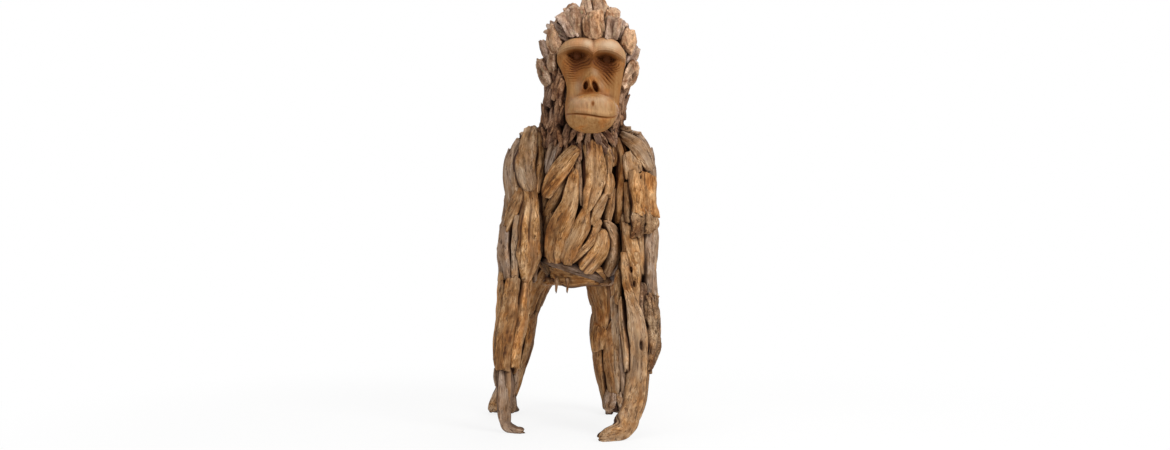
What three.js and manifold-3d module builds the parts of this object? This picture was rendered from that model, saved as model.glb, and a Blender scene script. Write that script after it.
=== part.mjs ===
// A knuckle-walking gorilla, about 1.2 m tall, built up from pieces of old teak root.
// Six rough timber blocks carry the figure: trunk, head, two arm posts and two leg posts.
// Split roots are laid side by side over the blocks, and a smooth carved face is let into the head.
// Millimetres. +X is the figure's left, -Y is the way it faces, +Z is up, and it stands on z = 0.

import * as THREE from "three";
import { mergeVertices } from "three/addons/utils/BufferGeometryUtils.js";
import Module from "manifold-3d";

// Driving dimensions of the figure.
const BELLY_HEIGHT = 425; // floor to the underside of the trunk
const TRUNK_HEIGHT = 450; // underside of the trunk to the root of the neck
const TRUNK_HALF_WIDTH = 152;
const TRUNK_HALF_DEPTH = 262;
const HEAD_HALF_WIDTH = 112;
const HEAD_HALF_DEPTH = 118;
const SHOULDER_OFFSET = 14; // arm axis outside the trunk's widest line
const ARM_HALF_WIDTH = 54;
const WRIST_HEIGHT = 150; // where the arm posts end
const HIP_OFFSET = 70;
const LEG_HALF_WIDTH = 66;
const ANKLE_HEIGHT = 62; // where the leg posts end
const LEAN = 12; // how far the head stands to the figure's left of the trunk

// How the roots sit on the blocks.
const BLOCK_INSET = 13; // block surface below the line that the roots follow
const SEAT_GAP = 0.35; // clearance left between any two pieces
const ROOT_CROWN = 14; // height of a root above that line
const TRUNK_SINK = 38; // depth of a root below that line, before it is fitted to the trunk or head
const LIMB_SINK = 22; // the same on an arm or leg
const ROOT_STOPS = [0, 0.2, 0.8, 1]; // where along a root its sections stand
const BENT_STOPS = [0, 0.14, 0.5, 0.86, 1]; // the same for a root with a marked bend
const BLOCK_SIDES = 8;

// Carved face. Its heights are counted up from the chin.
const FACE_HEIGHT = 267;
const FACE_HALF_WIDTH = 94;
const FACE_SEAT = 84; // face back in front of the head's axis
const FACE_DROP = 2; // chin below the foot of the head
const CHIN_ROOM = 4; // seat of the face below the chin
const FACE_ROLL = 2.5; // degrees that the face hangs to its left
const FACE_EDGE = 14; // how far the front falls back at its rim
const MUZZLE_HALF_WIDTH = 74;
const MUZZLE_HEIGHT = 60; // middle of the muzzle
const MUZZLE_DEPTH = 74;
const BROW_HEIGHT = 244;
const BROW_DEPTH = 26;
const EYE_SPACING = 41; // half the distance between the eyes
const EYE_HEIGHT = 210;
const SOCKET_DEPTH = 24;
const NOSTRIL_SPACING = 12;
const NOSTRIL_HEIGHT = 134;
const MOUTH_HEIGHT = 50;

const CROWN_HEIGHT = 83; // top of the face to the top of the head
const HEAD_HEIGHT = FACE_HEIGHT - FACE_DROP + CROWN_HEIGHT;

const wasm = await Module();
wasm.setup();

// A closed three.js geometry as a solid that can be cut and joined.
function solidOf(geometry) {
  const bare = new THREE.BufferGeometry();
  bare.setAttribute("position", geometry.getAttribute("position"));
  if (geometry.index) bare.setIndex(geometry.index);
  const merged = mergeVertices(bare, 1e-3);
  return new wasm.Manifold(
    new wasm.Mesh({
      numProp: 3,
      vertProperties: merged.getAttribute("position").array,
      triVerts: new Uint32Array(merged.index.array),
    }),
  );
}

// A solid back as a three.js geometry.
function geometryOf(solid) {
  const mesh = solid.getMesh();
  const geometry = new THREE.BufferGeometry();
  const positions = new Float32Array(mesh.numVert * 3);
  for (let i = 0; i < mesh.numVert; i++) {
    positions.set(mesh.vertProperties.subarray(i * mesh.numProp, i * mesh.numProp + 3), i * 3);
  }
  geometry.setAttribute("position", new THREE.BufferAttribute(positions, 3));
  geometry.setIndex(new THREE.BufferAttribute(mesh.triVerts, 1));
  geometry.computeVertexNormals();
  return geometry;
}

// A skin over rings of points, closed at both ends. Rings run anticlockwise seen from the last one.
function loft(rings) {
  const sides = rings[0].length;
  const positions = rings.flat().flatMap((p) => [p.x, p.y, p.z]);
  const index = [];
  for (let r = 0; r + 1 < rings.length; r++) {
    for (let s = 0; s < sides; s++) {
      const a = r * sides + s;
      const b = r * sides + ((s + 1) % sides);
      index.push(a, b, b + sides, a, b + sides, a + sides);
    }
  }
  const last = (rings.length - 1) * sides;
  for (let s = 1; s + 1 < sides; s++) {
    index.push(0, s + 1, s);
    index.push(last, last + s, last + s + 1);
  }
  const geometry = new THREE.BufferGeometry();
  geometry.setAttribute("position", new THREE.Float32BufferAttribute(positions, 3));
  geometry.setIndex(index);
  return geometry;
}

// Repeatable unevenness between -0.5 and 0.5, so that no two roots are alike.
function uneven(seed, step) {
  const wave = Math.sin(seed * 12.9898 + step * 78.233) * 43758.5453;
  return wave - Math.floor(wave) - 0.5;
}

// The value of a row of knots at a share of the way, on a smooth curve through them.
function smoothAt(knots, share, column) {
  let i = 0;
  while (i < knots.length - 2 && share > knots[i + 1][0]) i++;
  const slope = (k) => {
    const before = knots[Math.max(k - 1, 0)];
    const after = knots[Math.min(k + 1, knots.length - 1)];
    return (after[column] - before[column]) / (after[0] - before[0]);
  };
  const [a, b] = [knots[i], knots[i + 1]];
  const span = b[0] - a[0];
  const t = Math.min(Math.max((share - a[0]) / span, 0), 1);
  const beyond = share - (a[0] + t * span);
  const h = t * t * (3 - 2 * t);
  return (
    a[column] * (1 - h) +
    b[column] * h +
    slope(i) * span * t * (1 - t) * (1 - t) -
    slope(i + 1) * span * t * t * (1 - t) +
    beyond * slope(t < 0.5 ? i : i + 1) * 0.5
  );
}

// A mass of the figure: oval sections stacked upwards. Each section is its height in hundredths,
// its centre and its half width and half depth. Angle 0 faces forward and 90 the figure's left.
class Member {
  constructor(base, height, sink, sections) {
    this.base = base;
    this.height = height;
    this.sink = sink;
    this.sections = sections;
  }

  point(angle, level, lift) {
    const [x, y, rx, ry] = [1, 2, 3, 4].map((c) => smoothAt(this.sections, level, c));
    const turn = THREE.MathUtils.degToRad(angle);
    return new THREE.Vector3(
      x + Math.max(rx + lift, 0.2 * rx, 3) * Math.sin(turn),
      y - Math.max(ry + lift, 0.2 * ry, 3) * Math.cos(turn),
      this.base + (this.height * level) / 100,
    );
  }

  block(from, to, inset, grow) {
    const inner = this.sections.map(([level]) => level)
      .filter((level, i) => i % 2 === 0 && level > from + 4 && level < to - 4);
    const spare = (grow * 100) / this.height;
    const turns = Array.from({ length: BLOCK_SIDES }, (_, side) => (side * 360) / BLOCK_SIDES);
    return loft([from - spare, ...inner, to + spare].map((level) =>
      turns.map((turn) => this.point(turn, level, grow - inset))));
  }
}

// The flat underside of the trunk, laid out by its distance left of and behind the figure's centre.
class Underside {
  constructor(height) {
    this.height = height;
  }

  point(left, behind, lift) {
    return new THREE.Vector3(left, behind, this.height - lift);
  }
}

// One split root laid on a member. Its line is points of [angle, level, lift], widths are across it.
function rootGeometry(member, root, grow) {
  const { line, widths, seed = 1, crown = ROOT_CROWN, sink = member.sink } = root;
  const { sides = 5, stops = ROOT_STOPS, tips = [0.55, 0.5] } = root;
  const path = new THREE.CatmullRomCurve3(
    line.map(([angle, level, lift = 0]) => new THREE.Vector3(angle, level, lift)),
    false,
    "catmullrom",
    0.5,
  );
  const place = (t) => {
    const p = path.getPoint(Math.min(Math.max(t, 0), 1));
    return member.point(p.x, p.y, p.z);
  };
  const knots = widths.map((w, i) => [i / (widths.length - 1), w]);
  const rings = stops.map((t, ring) => {
    const p = path.getPoint(t);
    const centre = member.point(p.x, p.y, p.z);
    const along = place(t + 0.02).sub(place(t - 0.02)).normalize();
    const around = member.point(p.x + 1, p.y, p.z).sub(member.point(p.x - 1, p.y, p.z));
    const up = member.point(p.x, p.y + 1, p.z).sub(member.point(p.x, p.y - 1, p.z));
    const outward = member.point(p.x, p.y, p.z + 1).sub(centre);
    const out = around.cross(up).normalize();
    if (out.dot(outward) < 0) out.negate();
    const across = out.clone().cross(along).normalize();
    out.crossVectors(along, across);
    const first = ring === 0;
    const end = first || ring === stops.length - 1;
    const fullness = end ? tips[first ? 0 : 1] : 1;
    const half = (0.5 * smoothAt(knots, t, 1) * (1 + 0.16 * uneven(seed, ring))) * fullness + grow;
    const rise = crown * (1 + 0.3 * uneven(seed + 7, ring)) * fullness + grow;
    const shift = 0.1 * smoothAt(knots, t, 1) * uneven(seed + 3, ring) * (end ? 0 : 1);
    if (end) centre.addScaledVector(along, first ? -grow : grow);
    return Array.from({ length: sides }, (_, s) => {
      const turn = ((s + 0.5) * 2 * Math.PI) / sides;
      const side = Math.cos(turn);
      const height = Math.sin(turn);
      return centre
        .clone()
        .addScaledVector(across, shift + half * Math.sign(side) * Math.pow(Math.abs(side), 0.75))
        .addScaledVector(out, height > 0 ? rise * height : (sink + grow) * height);
    });
  });
  return loft(rings);
}

// A root that stands free of the blocks, such as a hand: round sections along a bent line.
function limbGeometry(spine, radii, flatten, sides, grow) {
  const curve = new THREE.CatmullRomCurve3(spine.map((p) => new THREE.Vector3(...p)), false, "centripetal");
  const count = spine.length * 2;
  const knots = radii.map((r, i) => [i / (radii.length - 1), r]);
  const rings = Array.from({ length: count + 1 }, (_, ring) => {
    const t = ring / count;
    const centre = curve.getPoint(t);
    const along = curve.getTangent(t);
    const across = new THREE.Vector3(1, 0.15, 0);
    across.addScaledVector(along, -across.dot(along)).normalize();
    const out = new THREE.Vector3().crossVectors(along, across);
    const radius = smoothAt(knots, t, 1) * (1 + 0.12 * uneven(ring, spine.length)) + grow;
    if (ring === 0) centre.addScaledVector(along, -grow);
    if (ring === count) centre.addScaledVector(along, grow);
    return Array.from({ length: sides }, (_, s) => {
      const turn = (s * 2 * Math.PI) / sides;
      return centre
        .clone()
        .addScaledVector(across, radius * Math.cos(turn))
        .addScaledVector(out, radius * flatten * Math.sin(turn));
    });
  });
  return loft(rings);
}

// A bed of roots joined along their sides: columns round a member and rows up it. Every root stands
// up between grooves, and the ends of neighbouring roots are staggered. crests is where the lines
// along a root's top stand across it: two for a flat top, one for a sharp one.
function bedGeometry(member, bed, grow) {
  const { angles, levels, columns, rows, seed, crown = ROOT_CROWN, sink = member.sink } = bed;
  const { stagger = 0.12, flare = 0, crests = [-0.25, 0.25] } = bed;
  const strips = crests.length + 1;
  const pitch = (angles[1] - angles[0]) / columns;
  const rise = (levels[1] - levels[0]) / rows;
  const endOf = (column, row) => {
    const inner = row > 0 && row < rows;
    return levels[0] + rise * (row + (inner ? 0.5 : stagger) * uneven(seed + column, row));
  };
  const rings = [];
  for (let u = 0; u <= columns * strips; u++) {
    const column = Math.floor(u / strips);
    const groove = u % strips === 0;
    const neighbours = [Math.max(column - (groove ? 1 : 0), 0), Math.min(column, columns - 1)];
    rings.push(
      Array.from({ length: rows * 3 + 1 }, (_, v) => {
        const row = Math.floor(v / 3);
        const share = [0, 0.16, 0.84][v % 3];
        const ends = neighbours.map((c) => endOf(c, row) * (1 - share) + endOf(c, row + 1) * share);
        const notch = v % 3 === 0;
        const tip = flare * Math.pow(v / (rows * 3), 2);
        const height = crown * (1 + 0.5 * uneven(seed + u, v));
        const lift = tip + (groove ? -0.5 * crown : notch ? -0.2 * crown : height);
        const sway = 0.35 * pitch * uneven(seed + column + (groove ? 0 : 40), row + share);
        const within = u === 0 || u === columns * strips ? 0 : sway * 0.5;
        return {
          angle: angles[0] + pitch * (column + (groove ? 0 : 0.5 + crests[(u % strips) - 1])) + within,
          level: (ends[0] + ends[1]) / 2,
          lift,
        };
      }),
    );
  }
  const [uLast, vLast] = [rings.length - 1, rows * 3];
  const set = (u, v, lift) => {
    const { angle, level } = rings[u][v];
    const p = member.point(angle, level, lift);
    const across = member.point(angle + 1, level, lift).sub(p).normalize();
    const up = member.point(angle, level + 1, lift).sub(p).normalize();
    if (u === 0 || u === uLast) p.addScaledVector(across, u === 0 ? -grow : grow);
    if (v === 0 || v === vLast) p.addScaledVector(up, v === 0 ? -grow : grow);
    return p;
  };
  const points = [];
  rings.forEach((ring, u) => ring.forEach((cell, v) => points.push(set(u, v, cell.lift + grow))));
  rings.forEach((ring, u) => ring.forEach((cell, v) => points.push(set(u, v, -sink - grow))));
  const at = (u, v) => u * (vLast + 1) + v;
  const under = points.length / 2;
  const index = [];
  const quad = (a, b, c, d) => index.push(a, b, c, a, c, d);
  for (let u = 0; u < uLast; u++) {
    for (let v = 0; v < vLast; v++) {
      quad(at(u, v), at(u + 1, v), at(u + 1, v + 1), at(u, v + 1));
      quad(under + at(u, v + 1), under + at(u + 1, v + 1), under + at(u + 1, v), under + at(u, v));
    }
    quad(under + at(u, 0), under + at(u + 1, 0), at(u + 1, 0), at(u, 0));
    quad(at(u, vLast), at(u + 1, vLast), under + at(u + 1, vLast), under + at(u, vLast));
  }
  for (let v = 0; v < vLast; v++) {
    quad(under + at(0, v + 1), under + at(0, v), at(0, v), at(0, v + 1));
    quad(at(uLast, v + 1), at(uLast, v), under + at(uLast, v), under + at(uLast, v + 1));
  }
  const geometry = new THREE.BufferGeometry().setFromPoints(points);
  geometry.setIndex(index);
  return geometry;
}

// Members. The trunk sets where the head, arms and legs begin.
const wide = TRUNK_HALF_WIDTH / 152;
const deep = TRUNK_HALF_DEPTH / 262;
const trunk = new Member(BELLY_HEIGHT, TRUNK_HEIGHT, TRUNK_SINK, [
  [0, -12, 60 * deep, 88 * wide, 195 * deep],
  [12, -12, 65 * deep, 122 * wide, 242 * deep],
  [30, -12, 70 * deep, 140 * wide, TRUNK_HALF_DEPTH],
  [48, -12, 58 * deep, 148 * wide, 255 * deep],
  [66, -12, 22 * deep, TRUNK_HALF_WIDTH, 212 * deep],
  [81, -10, -15 * deep, 146 * wide, 165 * deep],
  [92, -4, -45 * deep, 122 * wide, 122 * deep],
  [100, 2, -62 * deep, 92 * wide, 90 * deep],
]);
const trunkLevel = (level) => BELLY_HEIGHT + (TRUNK_HEIGHT * level) / 100;

const broad = HEAD_HALF_WIDTH / 112;
const long = HEAD_HALF_DEPTH / 118;
const head = new Member(trunkLevel(90), HEAD_HEIGHT, TRUNK_SINK, [
  [0, LEAN - 8, -98 * deep, 104 * broad, 92 * long],
  [14, LEAN - 6, -112 * deep, 98 * broad, 95 * long],
  [32, LEAN - 4, -132 * deep, 98 * broad, 100 * long],
  [49, LEAN, -150 * deep, 106 * broad, 110 * long],
  [66, LEAN + 2, -155 * deep, HEAD_HALF_WIDTH, HEAD_HALF_DEPTH],
  [80, LEAN + 2, -150 * deep, 102 * broad, 110 * long],
  [92, LEAN + 2, -145 * deep, 74 * broad, 82 * long],
  [100, LEAN + 2, -140 * deep, 34 * broad, 38 * long],
]);

const stout = ARM_HALF_WIDTH / 54;
const shoulder = TRUNK_HALF_WIDTH + SHOULDER_OFFSET;
const armTop = trunkLevel(95.5);
const armRight = new Member(WRIST_HEIGHT, armTop - WRIST_HEIGHT, LIMB_SINK, [
  [0, -shoulder - 56, -160 * deep, 20 * stout, 22 * stout],
  [6, -shoulder - 56, -150 * deep, 27 * stout, 28 * stout],
  [13, -shoulder - 52, -140 * deep, 33 * stout, 36 * stout],
  [21, -shoulder - 44, -122 * deep, 38 * stout, 42 * stout],
  [31, -shoulder - 37, -108 * deep, 40 * stout, 46 * stout],
  [41, -shoulder - 29, -98 * deep, 43 * stout, 52 * stout],
  [51, -shoulder - 20, -92 * deep, 52 * stout, 60 * stout],
  [61, -shoulder - 15, -88 * deep, ARM_HALF_WIDTH, 68 * stout],
  [72, -shoulder - 10, -86 * deep, 53 * stout, 76 * stout],
  [84, -shoulder - 11, -84 * deep, ARM_HALF_WIDTH, 78 * stout],
  [94, -shoulder - 5, -80 * deep, 50 * stout, 68 * stout],
  [100, -shoulder + 8, -76 * deep, 36 * stout, 46 * stout],
]);
const armLeft = new Member(WRIST_HEIGHT, armTop - WRIST_HEIGHT, LIMB_SINK, [
  [0, shoulder - 38, -222 * deep, 26 * stout, 28 * stout],
  [6, shoulder - 31, -205 * deep, 38 * stout, 36 * stout],
  [13, shoulder - 24, -186 * deep, 50 * stout, 44 * stout],
  [21, shoulder - 23, -165 * deep, 56 * stout, 48 * stout],
  [31, shoulder - 22, -146 * deep, 56 * stout, 50 * stout],
  [41, shoulder - 16, -128 * deep, 50 * stout, 52 * stout],
  [51, shoulder - 11, -112 * deep, 44 * stout, 58 * stout],
  [61, shoulder - 10, -100 * deep, 44 * stout, 66 * stout],
  [72, shoulder - 14, -92 * deep, 42 * stout, 72 * stout],
  [84, shoulder - 12, -86 * deep, 46 * stout, 76 * stout],
  [94, shoulder - 16, -80 * deep, 46 * stout, 66 * stout],
  [100, shoulder - 28, -76 * deep, 36 * stout, 46 * stout],
]);

const thick = LEG_HALF_WIDTH / 66;
const hip = trunkLevel(30);
const legRight = new Member(ANKLE_HEIGHT, hip - ANKLE_HEIGHT, LIMB_SINK, [
  [0, -HIP_OFFSET - 174, 222 * deep, 25 * thick, 28 * thick],
  [18, -HIP_OFFSET - 155, 198 * deep, 30 * thick, 38 * thick],
  [34, -HIP_OFFSET - 137, 176 * deep, 38 * thick, 46 * thick],
  [50, -HIP_OFFSET - 120, 166 * deep, 46 * thick, 56 * thick],
  [68, -HIP_OFFSET - 82, 186 * deep, 54 * thick, 72 * thick],
  [84, -HIP_OFFSET - 46, 204 * deep, LEG_HALF_WIDTH, 86 * thick],
  [100, -HIP_OFFSET - 28, 210 * deep, 70 * thick, 90 * thick],
]);
const legLeft = new Member(ANKLE_HEIGHT, hip - ANKLE_HEIGHT, LIMB_SINK, [
  [0, HIP_OFFSET + 32, 222 * deep, 25 * thick, 28 * thick],
  [18, HIP_OFFSET + 20, 198 * deep, 32 * thick, 38 * thick],
  [34, HIP_OFFSET + 10, 176 * deep, 42 * thick, 46 * thick],
  [50, HIP_OFFSET + 2, 166 * deep, 46 * thick, 56 * thick],
  [68, HIP_OFFSET - 6, 186 * deep, 52 * thick, 72 * thick],
  [84, HIP_OFFSET - 8, 204 * deep, 62 * thick, 86 * thick],
  [100, HIP_OFFSET - 12, 210 * deep, 65 * thick, 90 * thick],
]);
const underside = new Underside(BELLY_HEIGHT - SEAT_GAP);

// The carved face: how far each point of it stands in front of its flat back.
const hill = (x, width) => Math.exp(-(x * x) / (width * width));
const rise = (x, low, high) => THREE.MathUtils.smoothstep(x, low, high);
const FACE_OUTLINE = [
  [0, 0.26], [0.05, 0.52], [0.12, 0.67], [0.25, 0.79], [0.4, 0.775], [0.53, 0.8],
  [0.66, 0.92], [0.78, 1], [0.86, 0.97], [0.93, 0.87], [1, 0.68],
];

function faceRelief(x, height) {
  const side = Math.abs(x);
  const plate = 30 + 16 * (1 - Math.pow(side / (FACE_HALF_WIDTH + 6), 2));
  const upper = browRelief(side, height) - eyeRelief(side, height);
  return plate + upper + noseRelief(x, height) + muzzleRelief(x, height);
}

// A shelf over the eyes, dipping between them and falling away above.
function browRelief(side, height) {
  const dip = 14 * hill(side, 14);
  const shelf = rise(height, BROW_HEIGHT - 20 - dip, BROW_HEIGHT - 6 - dip / 2);
  const above = 1 - 0.75 * rise(height, BROW_HEIGHT + 8, BROW_HEIGHT + 26);
  return BROW_DEPTH * shelf * above * (1 - 0.55 * Math.pow(side / FACE_HALF_WIDTH, 4));
}

// A socket, deeper in its almond-shaped eye, with the cheekbone below it.
function eyeRelief(side, height) {
  const away = side - EYE_SPACING;
  const below = EYE_HEIGHT - height;
  const socket = SOCKET_DEPTH * hill(Math.hypot(away / 30, below / (below > 0 ? 32 : 18)), 1);
  const eye = 8 * hill(Math.hypot(away / 22, below / 10), 0.9);
  const cheekbone = 9 * hill(side - 64, 22) * hill(below - 40, 28);
  return socket + eye - cheekbone;
}

// A narrow bridge that widens into a low tip with two slanted nostrils.
function noseRelief(x, height) {
  const side = Math.abs(x);
  const above = height - NOSTRIL_HEIGHT;
  const bridge = 11 * hill(x, 13) * hill(above - 46, 30);
  const tip = 22 * hill(x, 23) * hill(above - 6, 20);
  const nostril = 18 * hill(side - NOSTRIL_SPACING + 0.3 * above, 6.5) * hill(above, 10);
  return bridge + tip - nostril;
}

// The muzzle, with a mouth slit between two full lips.
function muzzleRelief(x, height) {
  const side = Math.abs(x);
  const across = Math.min(side / MUZZLE_HALF_WIDTH, 1);
  const up = Math.min(Math.abs(height - MUZZLE_HEIGHT) / (MUZZLE_HEIGHT + 6), 1);
  const bulge = MUZZLE_DEPTH * Math.sqrt(Math.max(0, 1 - Math.pow(across, 2.7) - Math.pow(up, 3.1)));
  if (side > MUZZLE_HALF_WIDTH) return bulge;
  const fromMouth = height - mouthAt(x);
  const lips = 4 * hill(fromMouth - 9, 7) + 4 * hill(fromMouth + 9, 7);
  return bulge + lips - 12 * hill(fromMouth, 4);
}

function mouthAt(x) {
  return MOUTH_HEIGHT + 8 * Math.pow(x / MUZZLE_HALF_WIDTH, 2);
}

// Where the face's flat back stands.
const faceBack = () => smoothAt(head.sections, 45, 2) - FACE_SEAT;

// The face as a closed block: relief in front, straight sides, flat back.
function faceGeometry(grow) {
  const rows = [0, 3, 8, 13, 16, 18, 19.6, 22, 27, 33, 39, 43, 46, 48.5, 51, 54, 59, 64, 69, 73, 76.5]
    .concat([79.5, 82.5, 85, 87.5, 90.5, 95, 100]);
  const columns = [-1, -0.93, -0.8, -0.66, -0.53, -0.4, -0.27, -0.2, -0.14, -0.08, 0]
    .concat([0.08, 0.14, 0.2, 0.27, 0.4, 0.53, 0.66, 0.8, 0.93, 1]);
  const front = rows.map((row) => {
    const height = (FACE_HEIGHT * row) / 100;
    const half = FACE_HALF_WIDTH * smoothAt(FACE_OUTLINE, row / 100, 1);
    return columns.map((column) => {
      const x = half * column;
      const edge = FACE_EDGE * (Math.pow(Math.abs(column), 7) + Math.pow(Math.abs(row / 50 - 1), 12));
      return new THREE.Vector3(
        x * (1 + grow / FACE_HALF_WIDTH),
        -faceRelief(x, height) + edge - grow,
        height + grow * (row / 50 - 1),
      );
    });
  });
  // The rim runs anticlockwise as the viewer in front of the face sees it.
  const last = rows.length - 1;
  const right = columns.length - 1;
  const rim = [
    ...columns.map((_, c) => [0, c]).slice(0, right),
    ...rows.map((_, r) => [r, right]).slice(0, last),
    ...columns.map((_, c) => [last, right - c]).slice(0, right),
    ...rows.map((_, r) => [last - r, 0]).slice(0, last),
  ];
  const points = front.flat();
  const index = [];
  const at = (r, c) => r * columns.length + c;
  for (let r = 0; r < last; r++) {
    for (let c = 0; c < right; c++) {
      index.push(at(r, c), at(r, c + 1), at(r + 1, c + 1), at(r, c), at(r + 1, c + 1), at(r + 1, c));
    }
  }
  const back = points.length;
  rim.forEach(([r, c]) => points.push(front[r][c].clone().setY(grow)));
  const centre = points.push(new THREE.Vector3(0, grow, FACE_HEIGHT / 2)) - 1;
  rim.forEach(([r, c], i) => {
    const next = (i + 1) % rim.length;
    const [a, b] = [at(r, c), at(...rim[next])];
    index.push(a, back + next, b, a, back + i, back + next);
    index.push(back + i, centre, back + next);
  });
  const geometry = new THREE.BufferGeometry().setFromPoints(points);
  geometry.setIndex(index);
  geometry.rotateY(THREE.MathUtils.degToRad(FACE_ROLL));
  geometry.translate(head.point(0, 45, 0).x, faceBack(), head.base - FACE_DROP);
  return geometry;
}

// Woods, by the colour that each weathered to.
const wood = {
  heart: new THREE.MeshStandardMaterial({ color: 0xa8743f, roughness: 0.75, metalness: 0 }),
  grey: new THREE.MeshStandardMaterial({ color: 0x8f7454, roughness: 0.85, metalness: 0 }),
  bark: new THREE.MeshStandardMaterial({ color: 0x937250, roughness: 0.95, metalness: 0 }),
  carved: new THREE.MeshStandardMaterial({ color: 0xbb8347, roughness: 0.5, metalness: 0 }),
  rough: new THREE.MeshStandardMaterial({ color: 0x4a3423, roughness: 0.95, metalness: 0 }),
};

// Pieces in the order that they are fitted: each is cut back from those already in place.
const figure = new THREE.Group();
const placed = [];

// Fits a piece. It is given as a function that builds its geometries, grown all round by a distance.
function fit(name, material, build) {
  const join = (grow) => {
    const parts = build(grow).map(solidOf);
    return parts.length > 1 ? wasm.Manifold.union(parts) : parts[0];
  };
  let solid = join(0);
  const box = solid.boundingBox();
  for (const other of placed) {
    const apart = [0, 1, 2].some((k) => box.min[k] > other.box.max[k] || box.max[k] < other.box.min[k]);
    if (!apart) solid = solid.subtract(other.grown);
  }
  solid = solid.simplify(0.02);
  const [largest] = solid.decompose().sort((a, b) => b.volume() - a.volume());
  const grown = join(SEAT_GAP);
  placed.push({ grown, box: grown.boundingBox() });
  const mesh = new THREE.Mesh(geometryOf(largest), material);
  mesh.name = name;
  figure.add(mesh);
}

const roots = (member, list) => (grow) => list.map((root) => rootGeometry(member, root, grow));
const bed = (member, seed, angles, levels, columns, rows, more = {}) => (grow) => [
  bedGeometry(member, { seed, angles, levels, columns, rows, ...more }, grow),
];
const aboveFloor = (geometries, grow) => {
  const room = 4 * TRUNK_HALF_DEPTH;
  const floor = new THREE.BoxGeometry(room, room, room);
  floor.translate(0, 0, -room / 2 - grow);
  return geometries.map((g) => geometryOf(solidOf(g).subtract(solidOf(floor))));
};

// How far the tips of the hair stand off the head, and how uneven their ends are.
const CROWN_HAIR = { crown: 18, flare: 16, stagger: 0.3 };
const MANE = { crown: 16, flare: 4, stagger: 0.2 };
const EDGED = { crests: [0] }; // roots split to one edge, as behind the limbs and trunk

// Timber blocks.
fit("trunk_block", wood.rough, (grow) => [trunk.block(0, 99, BLOCK_INSET, grow)]);
fit("head_block", wood.rough, (grow) => {
  const block = solidOf(head.block(-4, 97, BLOCK_INSET, grow));
  const room = 2 * HEAD_HEIGHT;
  const seat = new THREE.BoxGeometry(room, room, room);
  seat.translate(LEAN, faceBack() - room / 2 - grow, head.base - FACE_DROP - CHIN_ROOM + room / 2 + grow);
  return [geometryOf(block.subtract(solidOf(seat)))];
});
fit("arm_post_right", wood.rough, (grow) => [armRight.block(0, 97, BLOCK_INSET, grow)]);
fit("arm_post_left", wood.rough, (grow) => [armLeft.block(0, 97, BLOCK_INSET, grow)]);
fit("leg_post_right", wood.rough, (grow) => [legRight.block(0, 100, BLOCK_INSET, grow)]);
fit("leg_post_left", wood.rough, (grow) => [legLeft.block(0, 100, BLOCK_INSET, grow)]);

// Head: the face, then the hair of split bark round it.
fit("face", wood.carved, (grow) => [faceGeometry(grow)]);
fit("crown_centre", wood.bark, roots(head, [
  {
    line: [[5, 79, 8], [6, 90, 8], [0, 108, 14]],
    widths: [38, 52, 34],
    crown: 22,
    seed: 4,
    stops: BENT_STOPS,
  },
  { line: [[-7, 79, 8], [-15, 92, 8], [-42, 106, 14]], widths: [28, 38, 32], crown: 20, seed: 3 },
]));
fit("crown_right", wood.bark, bed(head, 38, [-104, -17], [63, 98], 4, 1, CROWN_HAIR));
fit("crown_left", wood.bark, bed(head, 44, [22, 108], [60, 98], 4, 1, CROWN_HAIR));
fit("crown_back", wood.bark, bed(head, 40, [110, 254], [60, 98], 5, 1, { ...CROWN_HAIR, ...EDGED }));
fit("ear_right", wood.bark, roots(head, [
  { line: [[-60, 47, 0], [-84, 55, 10], [-92, 65, 26]], widths: [22, 34, 22], crown: 14, seed: 21 },
]));
fit("ear_left", wood.bark, roots(head, [
  { line: [[66, 39, 0], [84, 50, 8], [92, 60, 24]], widths: [22, 38, 22], crown: 14, seed: 22 },
]));
fit("cheek_right", wood.bark, bed(head, 31, [-126, -38], [-3, 60], 4, 2, MANE));
fit("cheek_left", wood.bark, bed(head, 37, [40, 126], [-3, 57], 4, 2, MANE));
fit("beard", wood.bark, bed(head, 47, [-37, 39], [-21, 4], 4, 1, MANE));
fit("nape", wood.bark, bed(head, 60, [127, 233], [-6, 60], 4, 2, { ...MANE, ...EDGED }));

// Hands and feet, cut flat where they stand on the floor.
const handRight = [
  [-shoulder - 60, -150 * deep, 236], [-shoulder - 62, -158 * deep, 195], [-shoulder - 55, -166 * deep, 117],
  [-shoulder - 64, -176 * deep, 52], [-shoulder - 47, -190 * deep, 11], [-shoulder - 10, -204 * deep, 5],
];
fit("hand_right", wood.grey, (grow) =>
  aboveFloor([limbGeometry(handRight, [10, 17, 25, 17, 14, 9], 0.9, 8, grow)], grow));
const handLeft = [
  [shoulder - 50, -186 * deep, 419], [shoulder - 25, -206 * deep, 314], [shoulder - 14, -230 * deep, 187],
  [shoulder - 36, -256 * deep, 100], [shoulder - 49, -288 * deep, 46], [shoulder - 77, -316 * deep, 12],
  [shoulder - 118, -336 * deep, 6],
];
fit("hand_left", wood.grey, (grow) =>
  aboveFloor([limbGeometry(handLeft, [8, 26, 34, 38, 31, 22, 12], 0.75, 8, grow)], grow));

function footSections(leg) {
  const [x, y] = [smoothAt(leg.sections, 0, 1), smoothAt(leg.sections, 0, 2)];
  return new Member(0, ANKLE_HEIGHT + 58, LIMB_SINK, [
    [0, x, y - 20, 50, 70],
    [22, x, y - 18, 50, 68],
    [48, x, y - 10, 39, 50],
    [72, x + 2, y - 6, 31, 38],
    [100, x + 4, y - 10, 26, 30],
  ]);
}
fit("foot_right", wood.grey, (grow) => [footSections(legRight).block(0, 100, 0, grow)]);
fit("foot_left", wood.grey, (grow) => [footSections(legLeft).block(0, 100, 0, grow)]);

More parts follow.
